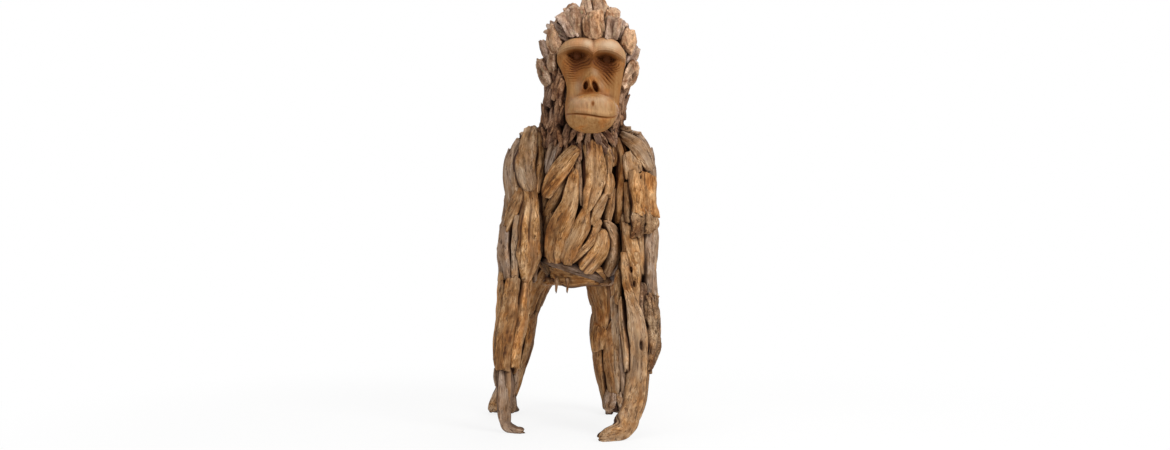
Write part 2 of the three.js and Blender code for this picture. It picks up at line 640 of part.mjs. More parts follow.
// Chest and belly, front to back in the order that they overlap.
fit("chest_centre_plank", wood.heart, roots(trunk, [
  { line: [[12, 86], [12, 63], [4, 42]], widths: [52, 64, 24], crown: 16, seed: 51, stops: BENT_STOPS },
  { line: [[-6, 78], [-3, 62], [-1, 44]], widths: [22, 32, 26], crown: 10, seed: 60 },
]));
fit("chest_right_diagonal", wood.heart, roots(trunk, [
  { line: [[-4, 84, 2], [-21, 68], [-40, 54]], widths: [28, 46, 36], crown: 18, seed: 52 },
]));
fit("belly_right_plank", wood.heart, roots(trunk, [
  {
    line: [[-6, 69], [-13, 48], [-28, 26], [-35, 12]],
    widths: [22, 54, 72, 48],
    crown: 17,
    seed: 53,
    stops: BENT_STOPS,
  },
  { line: [[-18, 63], [-29, 51], [-42, 41]], widths: [20, 30, 26], seed: 54 },
  { line: [[-44, 68], [-47, 46], [-47, 18]], widths: [26, 40, 34], seed: 50 },
]));
fit("belly_centre_plank", wood.heart, roots(trunk, [
  { line: [[4, 46], [-4, 31], [-18, 14]], widths: [24, 52, 40], crown: 14, seed: 55, stops: BENT_STOPS },
]));
fit("belly_scoop", wood.heart, roots(trunk, [
  { line: [[21, 34], [20, 20], [6, 9]], widths: [28, 58, 44], crown: 19, seed: 56, stops: BENT_STOPS },
  { line: [[18, 40], [9, 24], [-10, 12]], widths: [26, 30, 20], crown: 15, seed: 57, stops: BENT_STOPS },
  { line: [[27, 54], [18, 44], [12, 35]], widths: [24, 34, 26], crown: 13, seed: 58 },
]));
fit("belly_left_plank", wood.heart, roots(trunk, [
  { line: [[26, 37], [42, 24], [41, 6]], widths: [24, 66, 40], crown: 20, seed: 59 },
]));
fit("chest_left_slats", wood.heart, bed(trunk, 61, [21, 52], [36, 98], 2, 1));
fit("collar_right", wood.grey, bed(trunk, 64, [-50, -8], [56, 99], 2, 1));
fit("belly_rail", wood.rough, roots(trunk, [
  { line: [[-48, 10, 4], [-9, 3, 4], [42, -5, 4]], widths: [18, 24, 20], crown: 10, seed: 66 },
]));

// Right arm.
fit("shoulder_right_cap", wood.grey, roots(armRight, [
  { line: [[-2, 99], [6, 88], [14, 75]], widths: [38, 58, 34], crown: 20, seed: 81 },
]));
fit("shoulder_right_inner", wood.heart, roots(armRight, [
  { line: [[44, 99], [52, 88], [36, 75]], widths: [34, 38, 24], seed: 82 },
]));
fit("shoulder_right_outer", wood.grey, roots(armRight, [
  { line: [[-38, 95], [-42, 84], [-42, 71]], widths: [30, 42, 30], seed: 83 },
  { line: [[-10, 76], [-29, 67], [-46, 58]], widths: [30, 38, 30], seed: 84 },
]));
fit("upper_arm_right_front", wood.heart, roots(armRight, [
  {
    line: [[20, 77], [26, 61], [28, 48], [32, 38]],
    widths: [44, 60, 66, 30],
    crown: 18,
    seed: 85,
    stops: BENT_STOPS,
  },
  { line: [[62, 66], [68, 56], [66, 47]], widths: [26, 32, 24], seed: 86 },
]));
fit("elbow_right", wood.grey, roots(armRight, [
  { line: [[-46, 62], [-46, 51], [-30, 39]], widths: [32, 42, 32], seed: 87 },
  { line: [[-12, 66], [-12, 53], [-4, 39]], widths: [24, 28, 24], seed: 88 },
]));
fit("forearm_right_plank", wood.heart, roots(armRight, [
  { line: [[-7, 40], [-10, 23], [-20, 4]], widths: [40, 52, 44], seed: 89 },
]));
fit("forearm_right_strip", wood.heart, roots(armRight, [
  { line: [[36, 39], [40, 21], [46, 4]], widths: [20, 32, 28], seed: 90 },
]));
fit("forearm_right_rear", wood.heart, bed(armRight, 91, [75, 320], [2, 40], 4, 1, EDGED));
fit("arm_right_rear", wood.grey, bed(armRight, 101, [90, 308], [38, 103], 4, 2, EDGED));

// Left arm.
fit("shoulder_left_top", wood.grey, roots(armLeft, [
  { line: [[-34, 98], [4, 95, 4], [14, 81]], widths: [32, 38, 32], crown: 18, seed: 111 },
  { line: [[-20, 92], [-24, 81]], widths: [36, 36], seed: 112 },
]));
fit("shoulder_left_back", wood.grey, roots(armLeft, [
  { line: [[22, 98, 4], [44, 91, 4], [48, 79]], widths: [30, 36, 30], crown: 16, seed: 113 },
  { line: [[76, 98], [84, 88], [82, 77]], widths: [38, 44, 36], seed: 114 },
]));
fit("upper_arm_left_block", wood.heart, roots(armLeft, [
  { line: [[-2, 81], [2, 73], [0, 61]], widths: [62, 72, 70], crown: 20, seed: 115, tips: [0.8, 0.8] },
]));
fit("elbow_left_inner", wood.heart, roots(armLeft, [
  { line: [[-34, 63], [-26, 56], [-10, 47]], widths: [32, 40, 34], seed: 116 },
]));
fit("elbow_left_outer", wood.grey, roots(armLeft, [
  { line: [[22, 61], [28, 46], [36, 28]], widths: [36, 40, 36], seed: 117 },
  { line: [[44, 31], [54, 19], [72, 5]], widths: [36, 42, 32], seed: 118 },
]));
fit("forearm_left_knotted", wood.heart, roots(armLeft, [
  {
    line: [[-25, 49, 4], [-8, 38, 4], [6, 27, 4]],
    widths: [58, 56, 22],
    crown: 18,
    seed: 119,
    tips: [0.85, 0.4],
    stops: BENT_STOPS,
  },
]));
fit("forearm_left_twist", wood.grey, roots(armLeft, [
  {
    line: [[-84, 43], [-62, 31], [-62, 14], [-70, -2]],
    widths: [32, 36, 36, 26],
    seed: 120,
    stops: BENT_STOPS,
  },
  { line: [[-38, 29], [-30, 15], [-24, 4]], widths: [20, 26, 20], seed: 121 },
]));
fit("forearm_left_rear", wood.heart, bed(armLeft, 122, [95, 265], [2, 45], 3, 1, EDGED));
fit("arm_left_rear", wood.grey, bed(armLeft, 132, [62, 272], [44, 103], 4, 2, EDGED));

// Hind legs: a few long roots all round each.
fit("thigh_right", wood.heart, bed(legRight, 141, [-70, 90], [50, 84], 3, 1));
fit("shin_right", wood.heart, bed(legRight, 151, [-80, 90], [4, 52], 3, 1));
fit("leg_right_rear", wood.heart, bed(legRight, 156, [88, 288], [4, 84], 3, 2, EDGED));
fit("thigh_left", wood.heart, bed(legLeft, 161, [-90, 70], [50, 84], 3, 1));
fit("shin_left", wood.heart, bed(legLeft, 171, [-90, 80], [4, 52], 3, 1));
fit("leg_left_rear", wood.heart, bed(legLeft, 176, [72, 272], [4, 84], 3, 2, EDGED));

// Under the belly the boards run back between the thighs.
fit("belly_board", wood.heart, roots(underside, [-70, -24, 22, 66].map((x, i) => ({
  line: [[x - 12, -110 * deep], [x - 14, 60 * deep], [x - 12, 235 * deep]],
  widths: [44, 56, 46],
  crown: 20,
  sink: 0,
  seed: 70 + i,
}))));

// Flanks, back and rump.
fit("flank_right", wood.grey, bed(trunk, 181, [-126, -72], [3, 84], 3, 2, EDGED));
fit("flank_left", wood.grey, bed(trunk, 191, [72, 126], [3, 84], 3, 2, EDGED));
fit("back_upper", wood.grey, bed(trunk, 201, [126, 234], [64, 108], 4, 1, EDGED));
fit("back_lower", wood.heart, bed(trunk, 211, [127, 233], [32, 65], 4, 1, EDGED));
fit("rump", wood.heart, bed(trunk, 221, [127, 233], [0, 33], 4, 1, EDGED));

// The figure stands centred on the origin.
const outline = new THREE.Box3().setFromObject(figure, true);
figure.position.set(-(outline.min.x + outline.max.x) / 2, -(outline.min.y + outline.max.y) / 2, 0);

export default figure;
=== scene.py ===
"""A knuckle-walking gorilla pieced together from old teak roots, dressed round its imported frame.

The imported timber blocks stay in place. Every root that lies over them is modelled here as a
split, weathered piece of wood of its own, and the face as a smooth carving. All sizes are in
metres unless a name says otherwise. +X is the figure's left, -Y is the way it faces.
"""

import logging
import math
from dataclasses import dataclass, field
from enum import Enum
from functools import partial

import bmesh
import bpy
import numpy as np
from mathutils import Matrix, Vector
from mathutils.bvhtree import BVHTree


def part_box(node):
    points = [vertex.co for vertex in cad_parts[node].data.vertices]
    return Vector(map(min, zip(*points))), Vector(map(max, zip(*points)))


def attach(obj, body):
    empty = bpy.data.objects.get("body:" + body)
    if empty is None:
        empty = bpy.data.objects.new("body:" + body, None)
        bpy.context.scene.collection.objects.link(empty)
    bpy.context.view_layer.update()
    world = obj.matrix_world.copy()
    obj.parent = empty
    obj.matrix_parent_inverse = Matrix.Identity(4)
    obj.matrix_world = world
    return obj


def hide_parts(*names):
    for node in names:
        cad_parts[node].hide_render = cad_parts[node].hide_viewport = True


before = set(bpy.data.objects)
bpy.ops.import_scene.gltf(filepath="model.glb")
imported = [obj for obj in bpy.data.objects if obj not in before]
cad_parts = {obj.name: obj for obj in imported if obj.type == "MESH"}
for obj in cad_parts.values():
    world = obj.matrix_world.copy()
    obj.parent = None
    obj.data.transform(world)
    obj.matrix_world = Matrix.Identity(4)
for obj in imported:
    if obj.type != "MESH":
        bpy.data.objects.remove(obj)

log = logging.getLogger("gorilla")

MM = 0.001
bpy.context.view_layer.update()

# Driving sizes of the figure, as in the frame.
BELLY_HEIGHT = 0.425
TRUNK_HEIGHT = 0.450
HEAD_HEIGHT = 0.348
WRIST_HEIGHT = 0.150
ANKLE_HEIGHT = 0.062
HEAD_FOOT_LEVEL = 90  # level of the trunk that the head stands on
ARM_TOP_LEVEL = 95.5
HIP_LEVEL = 30
BLOCK_INSET = 0.013  # block surface below the line that the roots follow


class Cut(Enum):
    """How a root was worked: what its surface looks like."""

    SPLIT = "split"
    WORN = "worn"
    BARK = "bark"
    CHIP = "chip"


@dataclass(frozen=True)
class Relief:
    """How uneven a kind of root is.

    Depths are in metres. crisp is how sharp its long edges are, wave how much its width changes, and
    pace how soon its unevenness changes along it.
    """

    lump: float
    ridge: float
    groove: float
    fibre: float
    ragged: float
    crisp: float
    wave: float
    pace: float = 1.0


RELIEF = {
    Cut.SPLIT: Relief(
        lump=0.0026, ridge=0.0022, groove=0.0042, fibre=0.0005, ragged=0.008, crisp=14, wave=0.11
    ),
    Cut.WORN: Relief(
        lump=0.0036, ridge=0.0016, groove=0.0026, fibre=0.0003, ragged=0.005, crisp=7, wave=0.12
    ),
    Cut.BARK: Relief(
        lump=0.0050, ridge=0.0044, groove=0.0056, fibre=0.0022, ragged=0.012, crisp=11, wave=0.18
    ),
    Cut.CHIP: Relief(
        lump=0.0044, ridge=0.0018, groove=0.0010, fibre=0.0008, ragged=0.005, crisp=18, wave=0.12, pace=3.4
    ),
}
# The flat faces of a split root: the way each turns, in degrees from its crest, and how far out it lies.
FACETS = ((-97, 0.97), (-50, 1.10), (-3, 0.92), (46, 1.10), (95, 0.97), (180, 1.0))


def noise(x: np.ndarray, y: np.ndarray, seed: float) -> np.ndarray:
    """Smooth repeatable noise over a plane.

    Args:
        x: First coordinate of each point, one unit a wave.
        y: Second coordinate of each point.
        seed: Picks one pattern.

    Returns:
        A value from -1 to 1 for each point.
    """
    x, y = np.broadcast_arrays(np.asarray(x, float), np.asarray(y, float))
    left, low = np.floor(x), np.floor(y)
    across, up = x - left, y - low
    across = across * across * (3 - 2 * across)
    up = up * up * (3 - 2 * up)

    def corner(i: int, j: int) -> np.ndarray:
        """Value at one corner of the cell."""
        wave = np.sin((left + i) * 127.1 + (low + j) * 311.7 + seed * 74.7) * 43758.5453
        return (wave - np.floor(wave)) * 2 - 1

    below = corner(0, 0) * (1 - across) + corner(1, 0) * across
    above = corner(0, 1) * (1 - across) + corner(1, 1) * across
    return below * (1 - up) + above * up


def smooth_through(knots: np.ndarray, values: np.ndarray, at: np.ndarray) -> np.ndarray:
    """Values of a smooth curve through knots.

    Args:
        knots: Where the knots stand, rising.
        values: Value at each knot.
        at: Where the curve is wanted.

    Returns:
        The curve's value at each place.
    """
    slopes = np.gradient(values, knots) if len(knots) > 1 else np.zeros(1)
    place = np.clip(np.searchsorted(knots, at, side="right") - 1, 0, len(knots) - 2)
    span = knots[place + 1] - knots[place]
    t = (at - knots[place]) / span
    inside = np.clip(t, 0, 1)
    h = inside * inside * (3 - 2 * inside)
    curve = values[place] * (1 - h) + values[place + 1] * h
    curve = curve + slopes[place] * span * inside * (1 - inside) ** 2
    curve = curve - slopes[place + 1] * span * inside**2 * (1 - inside)
    edge = np.where(t < 0, slopes[place], slopes[place + 1])
    return curve + (t - inside) * span * edge * 0.5


@dataclass(frozen=True)
class Member:
    """A mass of the figure as oval sections stacked upwards.

    Each section is its level in hundredths, its centre and its half width and half depth in
    millimetres. Angle 0 faces forward and 90 the figure's left.
    """

    base: float
    height: float
    sections: tuple[tuple[float, float, float, float, float], ...]
    place: tuple[float, float] = (0.0, 0.0)

    def points(self, angle: np.ndarray, level: np.ndarray, lift: np.ndarray) -> np.ndarray:
        """Points over the member's surface.

        Args:
            angle: Degrees round the member.
            level: Hundredths of its height.
            lift: Metres outside its surface.

        Returns:
            One row of x, y, z for each point.
        """
        table = np.array(self.sections)
        columns = [smooth_through(table[:, 0], table[:, k] * MM, level) for k in (1, 2, 3, 4)]
        x, y, half_width, half_depth = columns
        turn = np.radians(angle)
        reach_x = np.maximum(half_width + lift, 0.003)
        reach_y = np.maximum(half_depth + lift, 0.003)
        return np.stack(
            [
                self.place[0] + x + reach_x * np.sin(turn),
                self.place[1] + y - reach_y * np.cos(turn),
                self.base + self.height * np.asarray(level) / 100,
            ],
            axis=-1,
        )


@dataclass(frozen=True)
class Root:
    """One root laid on a member.

    line holds points of (angle, level) or (angle, level, lift in millimetres).
    """

    line: tuple
    widths_mm: tuple[float, ...]
    crown_mm: float = 14
    cut: Cut = Cut.SPLIT
    tone: float | None = None
    ends: tuple[float, float] = (0.12, 0.12)
    seed: int = 1
    knots: tuple = ()
    twist: float = 0.0
    detail: float = 1.0
    thick: float = 0.0  # above 0, height and depth are this share of the half width


@dataclass
class Track:
    """A line in space with the directions across it and out of the surface that it lies on."""

    share: np.ndarray
    centre: np.ndarray
    across: np.ndarray
    out: np.ndarray
    along: np.ndarray
    length: float

    def at(self, share: np.ndarray, rows: np.ndarray) -> np.ndarray:
        """Rows of one of the line's fields, read at shares of its length."""
        return np.stack([np.interp(share, self.share, rows[:, k]) for k in range(3)], axis=-1)


TRACK_STEPS = 48


def lay(member: Member, root: Root) -> Track:
    """Lays a root's line over a member.

    Args:
        member: What the root lies on.
        root: The root.

    Returns:
        Its line in space.
    """
    line = np.array([tuple(p) + (0.0,) * (3 - len(p)) for p in root.line], float)
    knots = np.linspace(0, 1, len(line))
    share = np.linspace(0, 1, TRACK_STEPS)
    angle, level, lift = (smooth_through(knots, line[:, k], share) for k in range(3))
    lift = lift * MM
    centre = member.points(angle, level, lift)
    along = np.gradient(centre, axis=0)
    around = member.points(angle + 1, level, lift) - member.points(angle - 1, level, lift)
    rise = member.points(angle, level + 1, lift) - member.points(angle, level - 1, lift)
    out = np.cross(around, rise)
    return finish_track(share, centre, along, out)


def lay_free(place: tuple[float, float], root: Root, core: tuple[float, float, float]) -> Track:
    """Lays a root's line in open space.

    Args:
        place: Where the figure's middle stands.
        root: The root, whose line holds x, y and z in millimetres from the figure's middle.
        core: A point behind the root, in the same millimetres, that its face turns away from.

    Returns:
        Its line in space.
    """
    line = np.array(root.line, float) * MM
    knots = np.linspace(0, 1, len(line))
    share = np.linspace(0, 1, TRACK_STEPS)
    centre = np.stack([smooth_through(knots, line[:, k], share) for k in range(3)], axis=-1)
    out = centre - np.array(core) * MM
    centre = centre + np.array([*place, 0.0])
    return finish_track(share, centre, np.gradient(centre, axis=0), out)


def finish_track(share: np.ndarray, centre: np.ndarray, along: np.ndarray, out: np.ndarray) -> Track:
    """Squares up the directions of a line.

    Args:
        share: Share of the length at each step.
        centre: Points of the line.
        along: Rough directions along it.
        out: Rough directions out of the surface.

    Returns:
        The line with square directions.
    """
    length = float(np.linalg.norm(np.diff(centre, axis=0), axis=1).sum())
    along = along / np.linalg.norm(along, axis=1, keepdims=True)
    across = np.cross(out, along)
    across = across / np.linalg.norm(across, axis=1, keepdims=True)
    out = np.cross(along, across)
    return Track(share, centre, across, out, along, length)


@dataclass
class Blanks:
    """Balls of unit size to be drawn out into roots, each made once."""

    made: dict[tuple[int, int], bpy.types.Mesh] = field(default_factory=dict)

    def of(self, root: Root, length: float) -> bpy.types.Mesh:
        """A ball with facets enough for a root of some length in metres."""
        widest = max(root.widths_mm)
        around = 2 * round(np.clip(widest * 0.46 + 9, 14, 36) * root.detail / 2)
        steps = 4 * round(np.clip(length / MM * 0.36 + 8, 16, 84) * root.detail / 4)
        if (around, steps) not in self.made:
            bm = bmesh.new()
            bmesh.ops.create_uvsphere(bm, u_segments=around, v_segments=steps, radius=1.0)
            mesh = bpy.data.meshes.new("blank")
            bm.to_mesh(mesh)
            bm.free()
            self.made[around, steps] = mesh
        return self.made[around, steps]

    def clear(self) -> None:
        """Removes the balls once the roots are drawn."""
        for mesh in self.made.values():
            bpy.data.meshes.remove(mesh)
        self.made.clear()


BLANKS = Blanks()


CREST_CROWDING = 0.42  # how far a blank's points crowd towards the face of its root
HALF_OF_WIDTH = 0.475  # a little less than half, because lumps and facets add to it
FULL_RELIEF_HALF = 0.017  # half width of a root that takes all the relief of its kind


@dataclass
class RootShape:
    """Draws a blank out along a line into a root, and notes how its grain runs."""

    root: Root
    track: Track
    sink: float = 0.014  # how far its back reaches below the line

    def draw(self, unit: np.ndarray) -> tuple[np.ndarray, np.ndarray, np.ndarray]:
        """Moves the points of a unit ball.

        Args:
            unit: Points of the ball, whose poles become the root's ends.

        Returns:
            The new points, the grain coordinates and the wear and shading values: tone, cavity (1 in a
            hollow, for painted shade, and -1 on an edge, for wear and a painted highlight) and knot.
        """
        root, track = self.root, self.track
        relief = RELIEF[root.cut]
        rng = np.random.default_rng(root.seed * 7 + 3)
        ring = 1 - np.arccos(np.clip(unit[:, 2], -1, 1)) / math.pi
        share = 0.5 * ring + 0.25 * (1 - np.cos(math.pi * ring))
        turn = np.arctan2(unit[:, 1], unit[:, 0]) - math.pi / 2
        turn = (turn + math.pi) % (2 * math.pi) - math.pi
        turn = turn - CREST_CROWDING * np.sin(turn)
        side, height = -np.sin(turn), np.cos(turn)
        run = share * track.length

        taper = self.end_taper(share, turn, rng)
        widths = np.array(root.widths_mm) * MM
        width = smooth_through(np.linspace(0, 1, len(widths)), widths, share)
        edges = 1 + relief.wave * noise(run * 19, side * 0.8 + 5.5, root.seed)
        edges = edges + 0.5 * relief.wave * noise(run * 47, side * 1.3 + 9.5, root.seed)
        half = HALF_OF_WIDTH * width * edges * taper
        crown = root.crown_mm * MM * (1 + 0.22 * noise(run * 11, 4.5, root.seed)) * (0.35 + 0.65 * taper)
        sink = self.sink * taper
        if root.thick:
            crown = sink = half * root.thick
        bend = turn + root.twist * share
        reach, edge = self.facets(bend, run, rng, relief.crisp)
        sway = 0.10 * width * noise(run * 8, 8.5, root.seed) * (root.thick == 0)
        x = half * reach * side
        y = np.where(height > 0, crown, sink) * reach * height
        lean = 0.22 * crown * noise(run * 6, 2.5, root.seed + 5) * side * (height > 0)

        lump = noise(bend * 1.3, run * 13, root.seed) + 0.6 * noise(bend * 2.9, run * 31, root.seed + 1)
        lump = relief.lump * lump
        paced = run * relief.pace
        crest = np.abs(noise(bend * 1.7, paced * 5.5, root.seed + 6))
        crest = crest + 0.5 * np.abs(noise(bend * 4.1, paced * 9, root.seed + 7))
        fibre = noise(bend * 9, paced * 18, root.seed + 2) + 0.6 * noise(bend * 15, paced * 40, root.seed + 3)
        fibre = relief.fibre * fibre
        groove = self.grooves(bend, share, run, rng) * relief.groove
        knot, hole = self.knots(turn, share, half, track.length)
        scale = np.clip(half / FULL_RELIEF_HALF, 0.2, 1.25)
        push = (lump + fibre - groove + relief.ridge * (0.55 - crest)) * scale + knot
        x = x + sway * taper + side * push
        y = y + lean + height * push

        near_end = np.clip(np.abs(share - 0.5) * 2, 0, 1) ** 3
        slant = np.where(share < 0.5, *rng.uniform(-0.45, 0.45, 2)) * x
        slip = relief.ragged * noise(turn * 2.1, 0.3, root.seed + 9)
        slip = slip + 0.6 * relief.ragged * noise(turn * 5.3, 0.3, root.seed + 8)
        slip = (slip + slant) * near_end
        points = (
            track.at(share, track.centre)
            + track.at(share, track.across) * x[:, None]
            + track.at(share, track.out) * y[:, None]
            + track.at(share, track.along) * slip[:, None]
        )
        offset = rng.uniform(0, 9, 3)
        grain = np.stack([x + 0.006 * hole, run + slip, y], axis=-1) + offset
        tone = root.tone if root.tone is not None else float(rng.uniform(0, 1))
        # Painted shade: the cavity is higher in the grooves, on the root's low sides where it meets its
        # neighbours, and where the surface dips. It goes below 0 along the edges between the facets, for wear
        # and a painted highlight.
        cavity = groove / relief.groove * 1.1 + np.clip(0.46 - height, 0, 1) * 1.5
        cavity = np.clip(cavity + 0.8 * (crest - 0.60) - 36 * lump, 0, 1)
        cavity = cavity - edge * np.clip(1 - 2.5 * cavity, 0, 1) * np.clip(height * 3, 0, 1)
        wear = np.stack([np.full_like(x, tone), cavity, hole], axis=-1)
        return points, grain, wear

    def facets(
        self, turn: np.ndarray, run: np.ndarray, rng: np.random.Generator, crisp: float
    ) -> tuple[np.ndarray, np.ndarray]:
        """How far the surface reaches at each angle, on a section of flat faces with worn edges.

        Args:
            turn: Angle of each point from the root's crest.
            run: Distance along the root.
            rng: The root's own random numbers.
            crisp: How sharp the edges between the faces are.

        Returns:
            The reach as a share of the half width or height, and 1 on the edges between the faces.
        """
        total = np.zeros_like(turn)
        largest = np.zeros_like(turn)
        for index, (facing, distance) in enumerate(FACETS):
            middle = math.radians(facing + rng.uniform(-13, 13))
            middle = middle + 0.20 * noise(run * 10, index + 0.5, self.root.seed + 31)
            far = distance * rng.uniform(0.90, 1.06)
            far = far + 0.09 * noise(run * 16, index + 0.5, self.root.seed + 32)
            part = (np.clip(np.cos(turn - middle), 0, 1) / far) ** crisp
            total = total + part
            largest = np.maximum(largest, part)
        total = np.clip(total, 0.05, None)
        return total ** (-1 / crisp), np.clip(2.4 * (1 - largest / total), 0, 1)

    def end_taper(self, share: np.ndarray, turn: np.ndarray, rng: np.random.Generator) -> np.ndarray:
        """How full the root is towards its ends: round over a short or a long stretch."""
        first, last = self.root.ends
        wobble = 1 + 0.35 * noise(turn * 1.7, 0.1, self.root.seed + 11)
        full = np.ones_like(share)
        for distance, reach in ((share, first), (1 - share, last)):
            near = np.clip(distance / (0.42 * reach * wobble), 0, 1)
            full = full * np.clip(1 - (1 - near) ** 2.8, 0, 1) ** 0.38
        return full

    def grooves(
        self, turn: np.ndarray, share: np.ndarray, run: np.ndarray, rng: np.random.Generator
    ) -> np.ndarray:
        """Depth from 0 to 1 of the long splits in the root's face."""
        depth = np.zeros_like(turn)
        for index in range(int(rng.integers(0, 4))):
            middle = rng.uniform(-1.25, 1.25) + 0.22 * noise(run * 9, 0.7, self.root.seed + 20 + index)
            narrow = rng.uniform(0.06, 0.13)
            start, length = rng.uniform(-0.2, 0.6), rng.uniform(0.35, 0.9)
            window = np.clip((share - start) * 8, 0, 1) * np.clip((start + length - share) * 8, 0, 1)
            cut = np.exp(-(((turn - middle) / narrow) ** 2)) * window * rng.uniform(0.4, 1.0)
            depth = np.maximum(depth, cut)
        return depth

    def knots(
        self, turn: np.ndarray, share: np.ndarray, half: np.ndarray, length: float
    ) -> tuple[np.ndarray, np.ndarray]:
        """Rims and holes of knots.

        Args:
            turn: Angle of each point from the root's crest.
            share: Share of the length at each point.
            half: Half width there.
            length: The root's length.

        Returns:
            How far the surface moves out, and how deep in a hole each point is from 0 to 1.
        """
        push = np.zeros_like(turn)
        hole = np.zeros_like(turn)
        for middle, where, radius_mm, depth_mm in self.root.knots:
            radius = radius_mm * MM
            sideways = (turn - middle) * np.maximum(half, 0.006)
            lengthways = (share - where) * length * 0.62
            distance = np.hypot(sideways, lengthways) / radius
            inside = np.exp(-((distance / 0.62) ** 4))
            rim = np.exp(-(((distance - 1.0) / 0.34) ** 2))
            push = push + rim * radius * 0.22 - inside * depth_mm * MM
            hole = np.maximum(hole, inside)
        return push, hole


@dataclass
class Cluster:
    """Roots that are nailed on as one piece of the figure, and the node they stand for."""

    name: str
    slot: str
    replaces: tuple[str, ...]
    finish: str = ""
    shapes: list[RootShape] = field(default_factory=list)

    def build(self, material: bpy.types.Material) -> bpy.types.Object:
        """Makes the piece's mesh.

        Args:
            material: The finish of its wood.

        Returns:
            The finished object, riding on the figure.
        """
        bm = bmesh.new()
        counts = [0]
        for shape in self.shapes:
            bm.from_mesh(BLANKS.of(shape.root, shape.track.length))
            counts.append(len(bm.verts))
        mesh = bpy.data.meshes.new(self.name)
        bm.to_mesh(mesh)
        bm.free()
        points = np.empty(len(mesh.vertices) * 3)
        mesh.vertices.foreach_get("co", points)
        points = points.reshape(-1, 3)
        grain = np.zeros_like(points)
        wear = np.zeros_like(points)
        for shape, first, last in zip(self.shapes, counts, counts[1:]):
            rows = slice(first, last)
            points[rows], grain[rows], wear[rows] = shape.draw(points[rows])
        return seat_mesh(self, mesh, points, grain, wear, material)


def seat_mesh(
    piece: Cluster,
    mesh: bpy.types.Mesh,
    points: np.ndarray,
    grain: np.ndarray,
    wear: np.ndarray,
    material: bpy.types.Material,
) -> bpy.types.Object:
    """Puts points and attributes on a mesh and makes it a piece of the figure.

    Args:
        piece: The piece's name, slot and nodes.
        mesh: The mesh, with as many vertices as there are points.
        points: Where its vertices go.
        grain: Coordinates that follow the grain.
        wear: Tone, cavity and knot values, or the face's pale and dark values; besides wear they carry
            painted shade and painted highlights.
        material: The finish.

    Returns:
        The finished object.
    """
    mesh.vertices.foreach_set("co", np.maximum(points, [-9, -9, 0.0]).ravel())
    for name, rows in (("grain", grain), ("wear", wear)):
        layer = mesh.attributes.new(name, "FLOAT_VECTOR", "POINT")
        layer.data.foreach_set("vector", rows.astype(np.float32).ravel())
    mesh.polygons.foreach_set("use_smooth", np.ones(len(mesh.polygons), bool))
    mesh.materials.append(material)
    mesh.update()
    made = bpy.data.objects.new(piece.name, mesh)
    bpy.context.scene.collection.objects.link(made)
    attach(made, "root")
    if piece.replaces:
        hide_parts(*piece.replaces)
    log.info("%s: %d vertices", piece.name, len(mesh.vertices))
    return made


@dataclass
class Layout:
    """The pieces of one sub-assembly, laid out root by root on a member."""

    member: Member
    pieces: list[Cluster] = field(default_factory=list)

    def piece(self, node: str, kind: str, slot: str, finish: str = "") -> None:
        """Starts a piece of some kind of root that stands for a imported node."""
        self.pieces.append(Cluster(f"{node}_{kind}", slot, (node,), finish))

    def extra(self, name: str, slot: str, finish: str) -> None:
        """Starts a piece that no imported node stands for."""
        self.pieces.append(Cluster(name, slot, (), finish))

    def root(self, *values: object, **named: object) -> None:
        """Lays one root, given as Root takes it, on the member."""
        self.strips([Root(*values, **named)])

    def strips(self, roots: list[Root]) -> None:
        """Lays roots on the member as part of the last piece."""
        self.pieces[-1].shapes.extend(RootShape(root, lay(self.member, root)) for root in roots)

    def free(self, core: tuple[float, float, float], *roots: Root) -> None:
        """Lays roots in open space round a core as part of the last piece."""
        place = self.member.place
        self.pieces[-1].shapes.extend(RootShape(root, lay_free(place, root, core)) for root in roots)


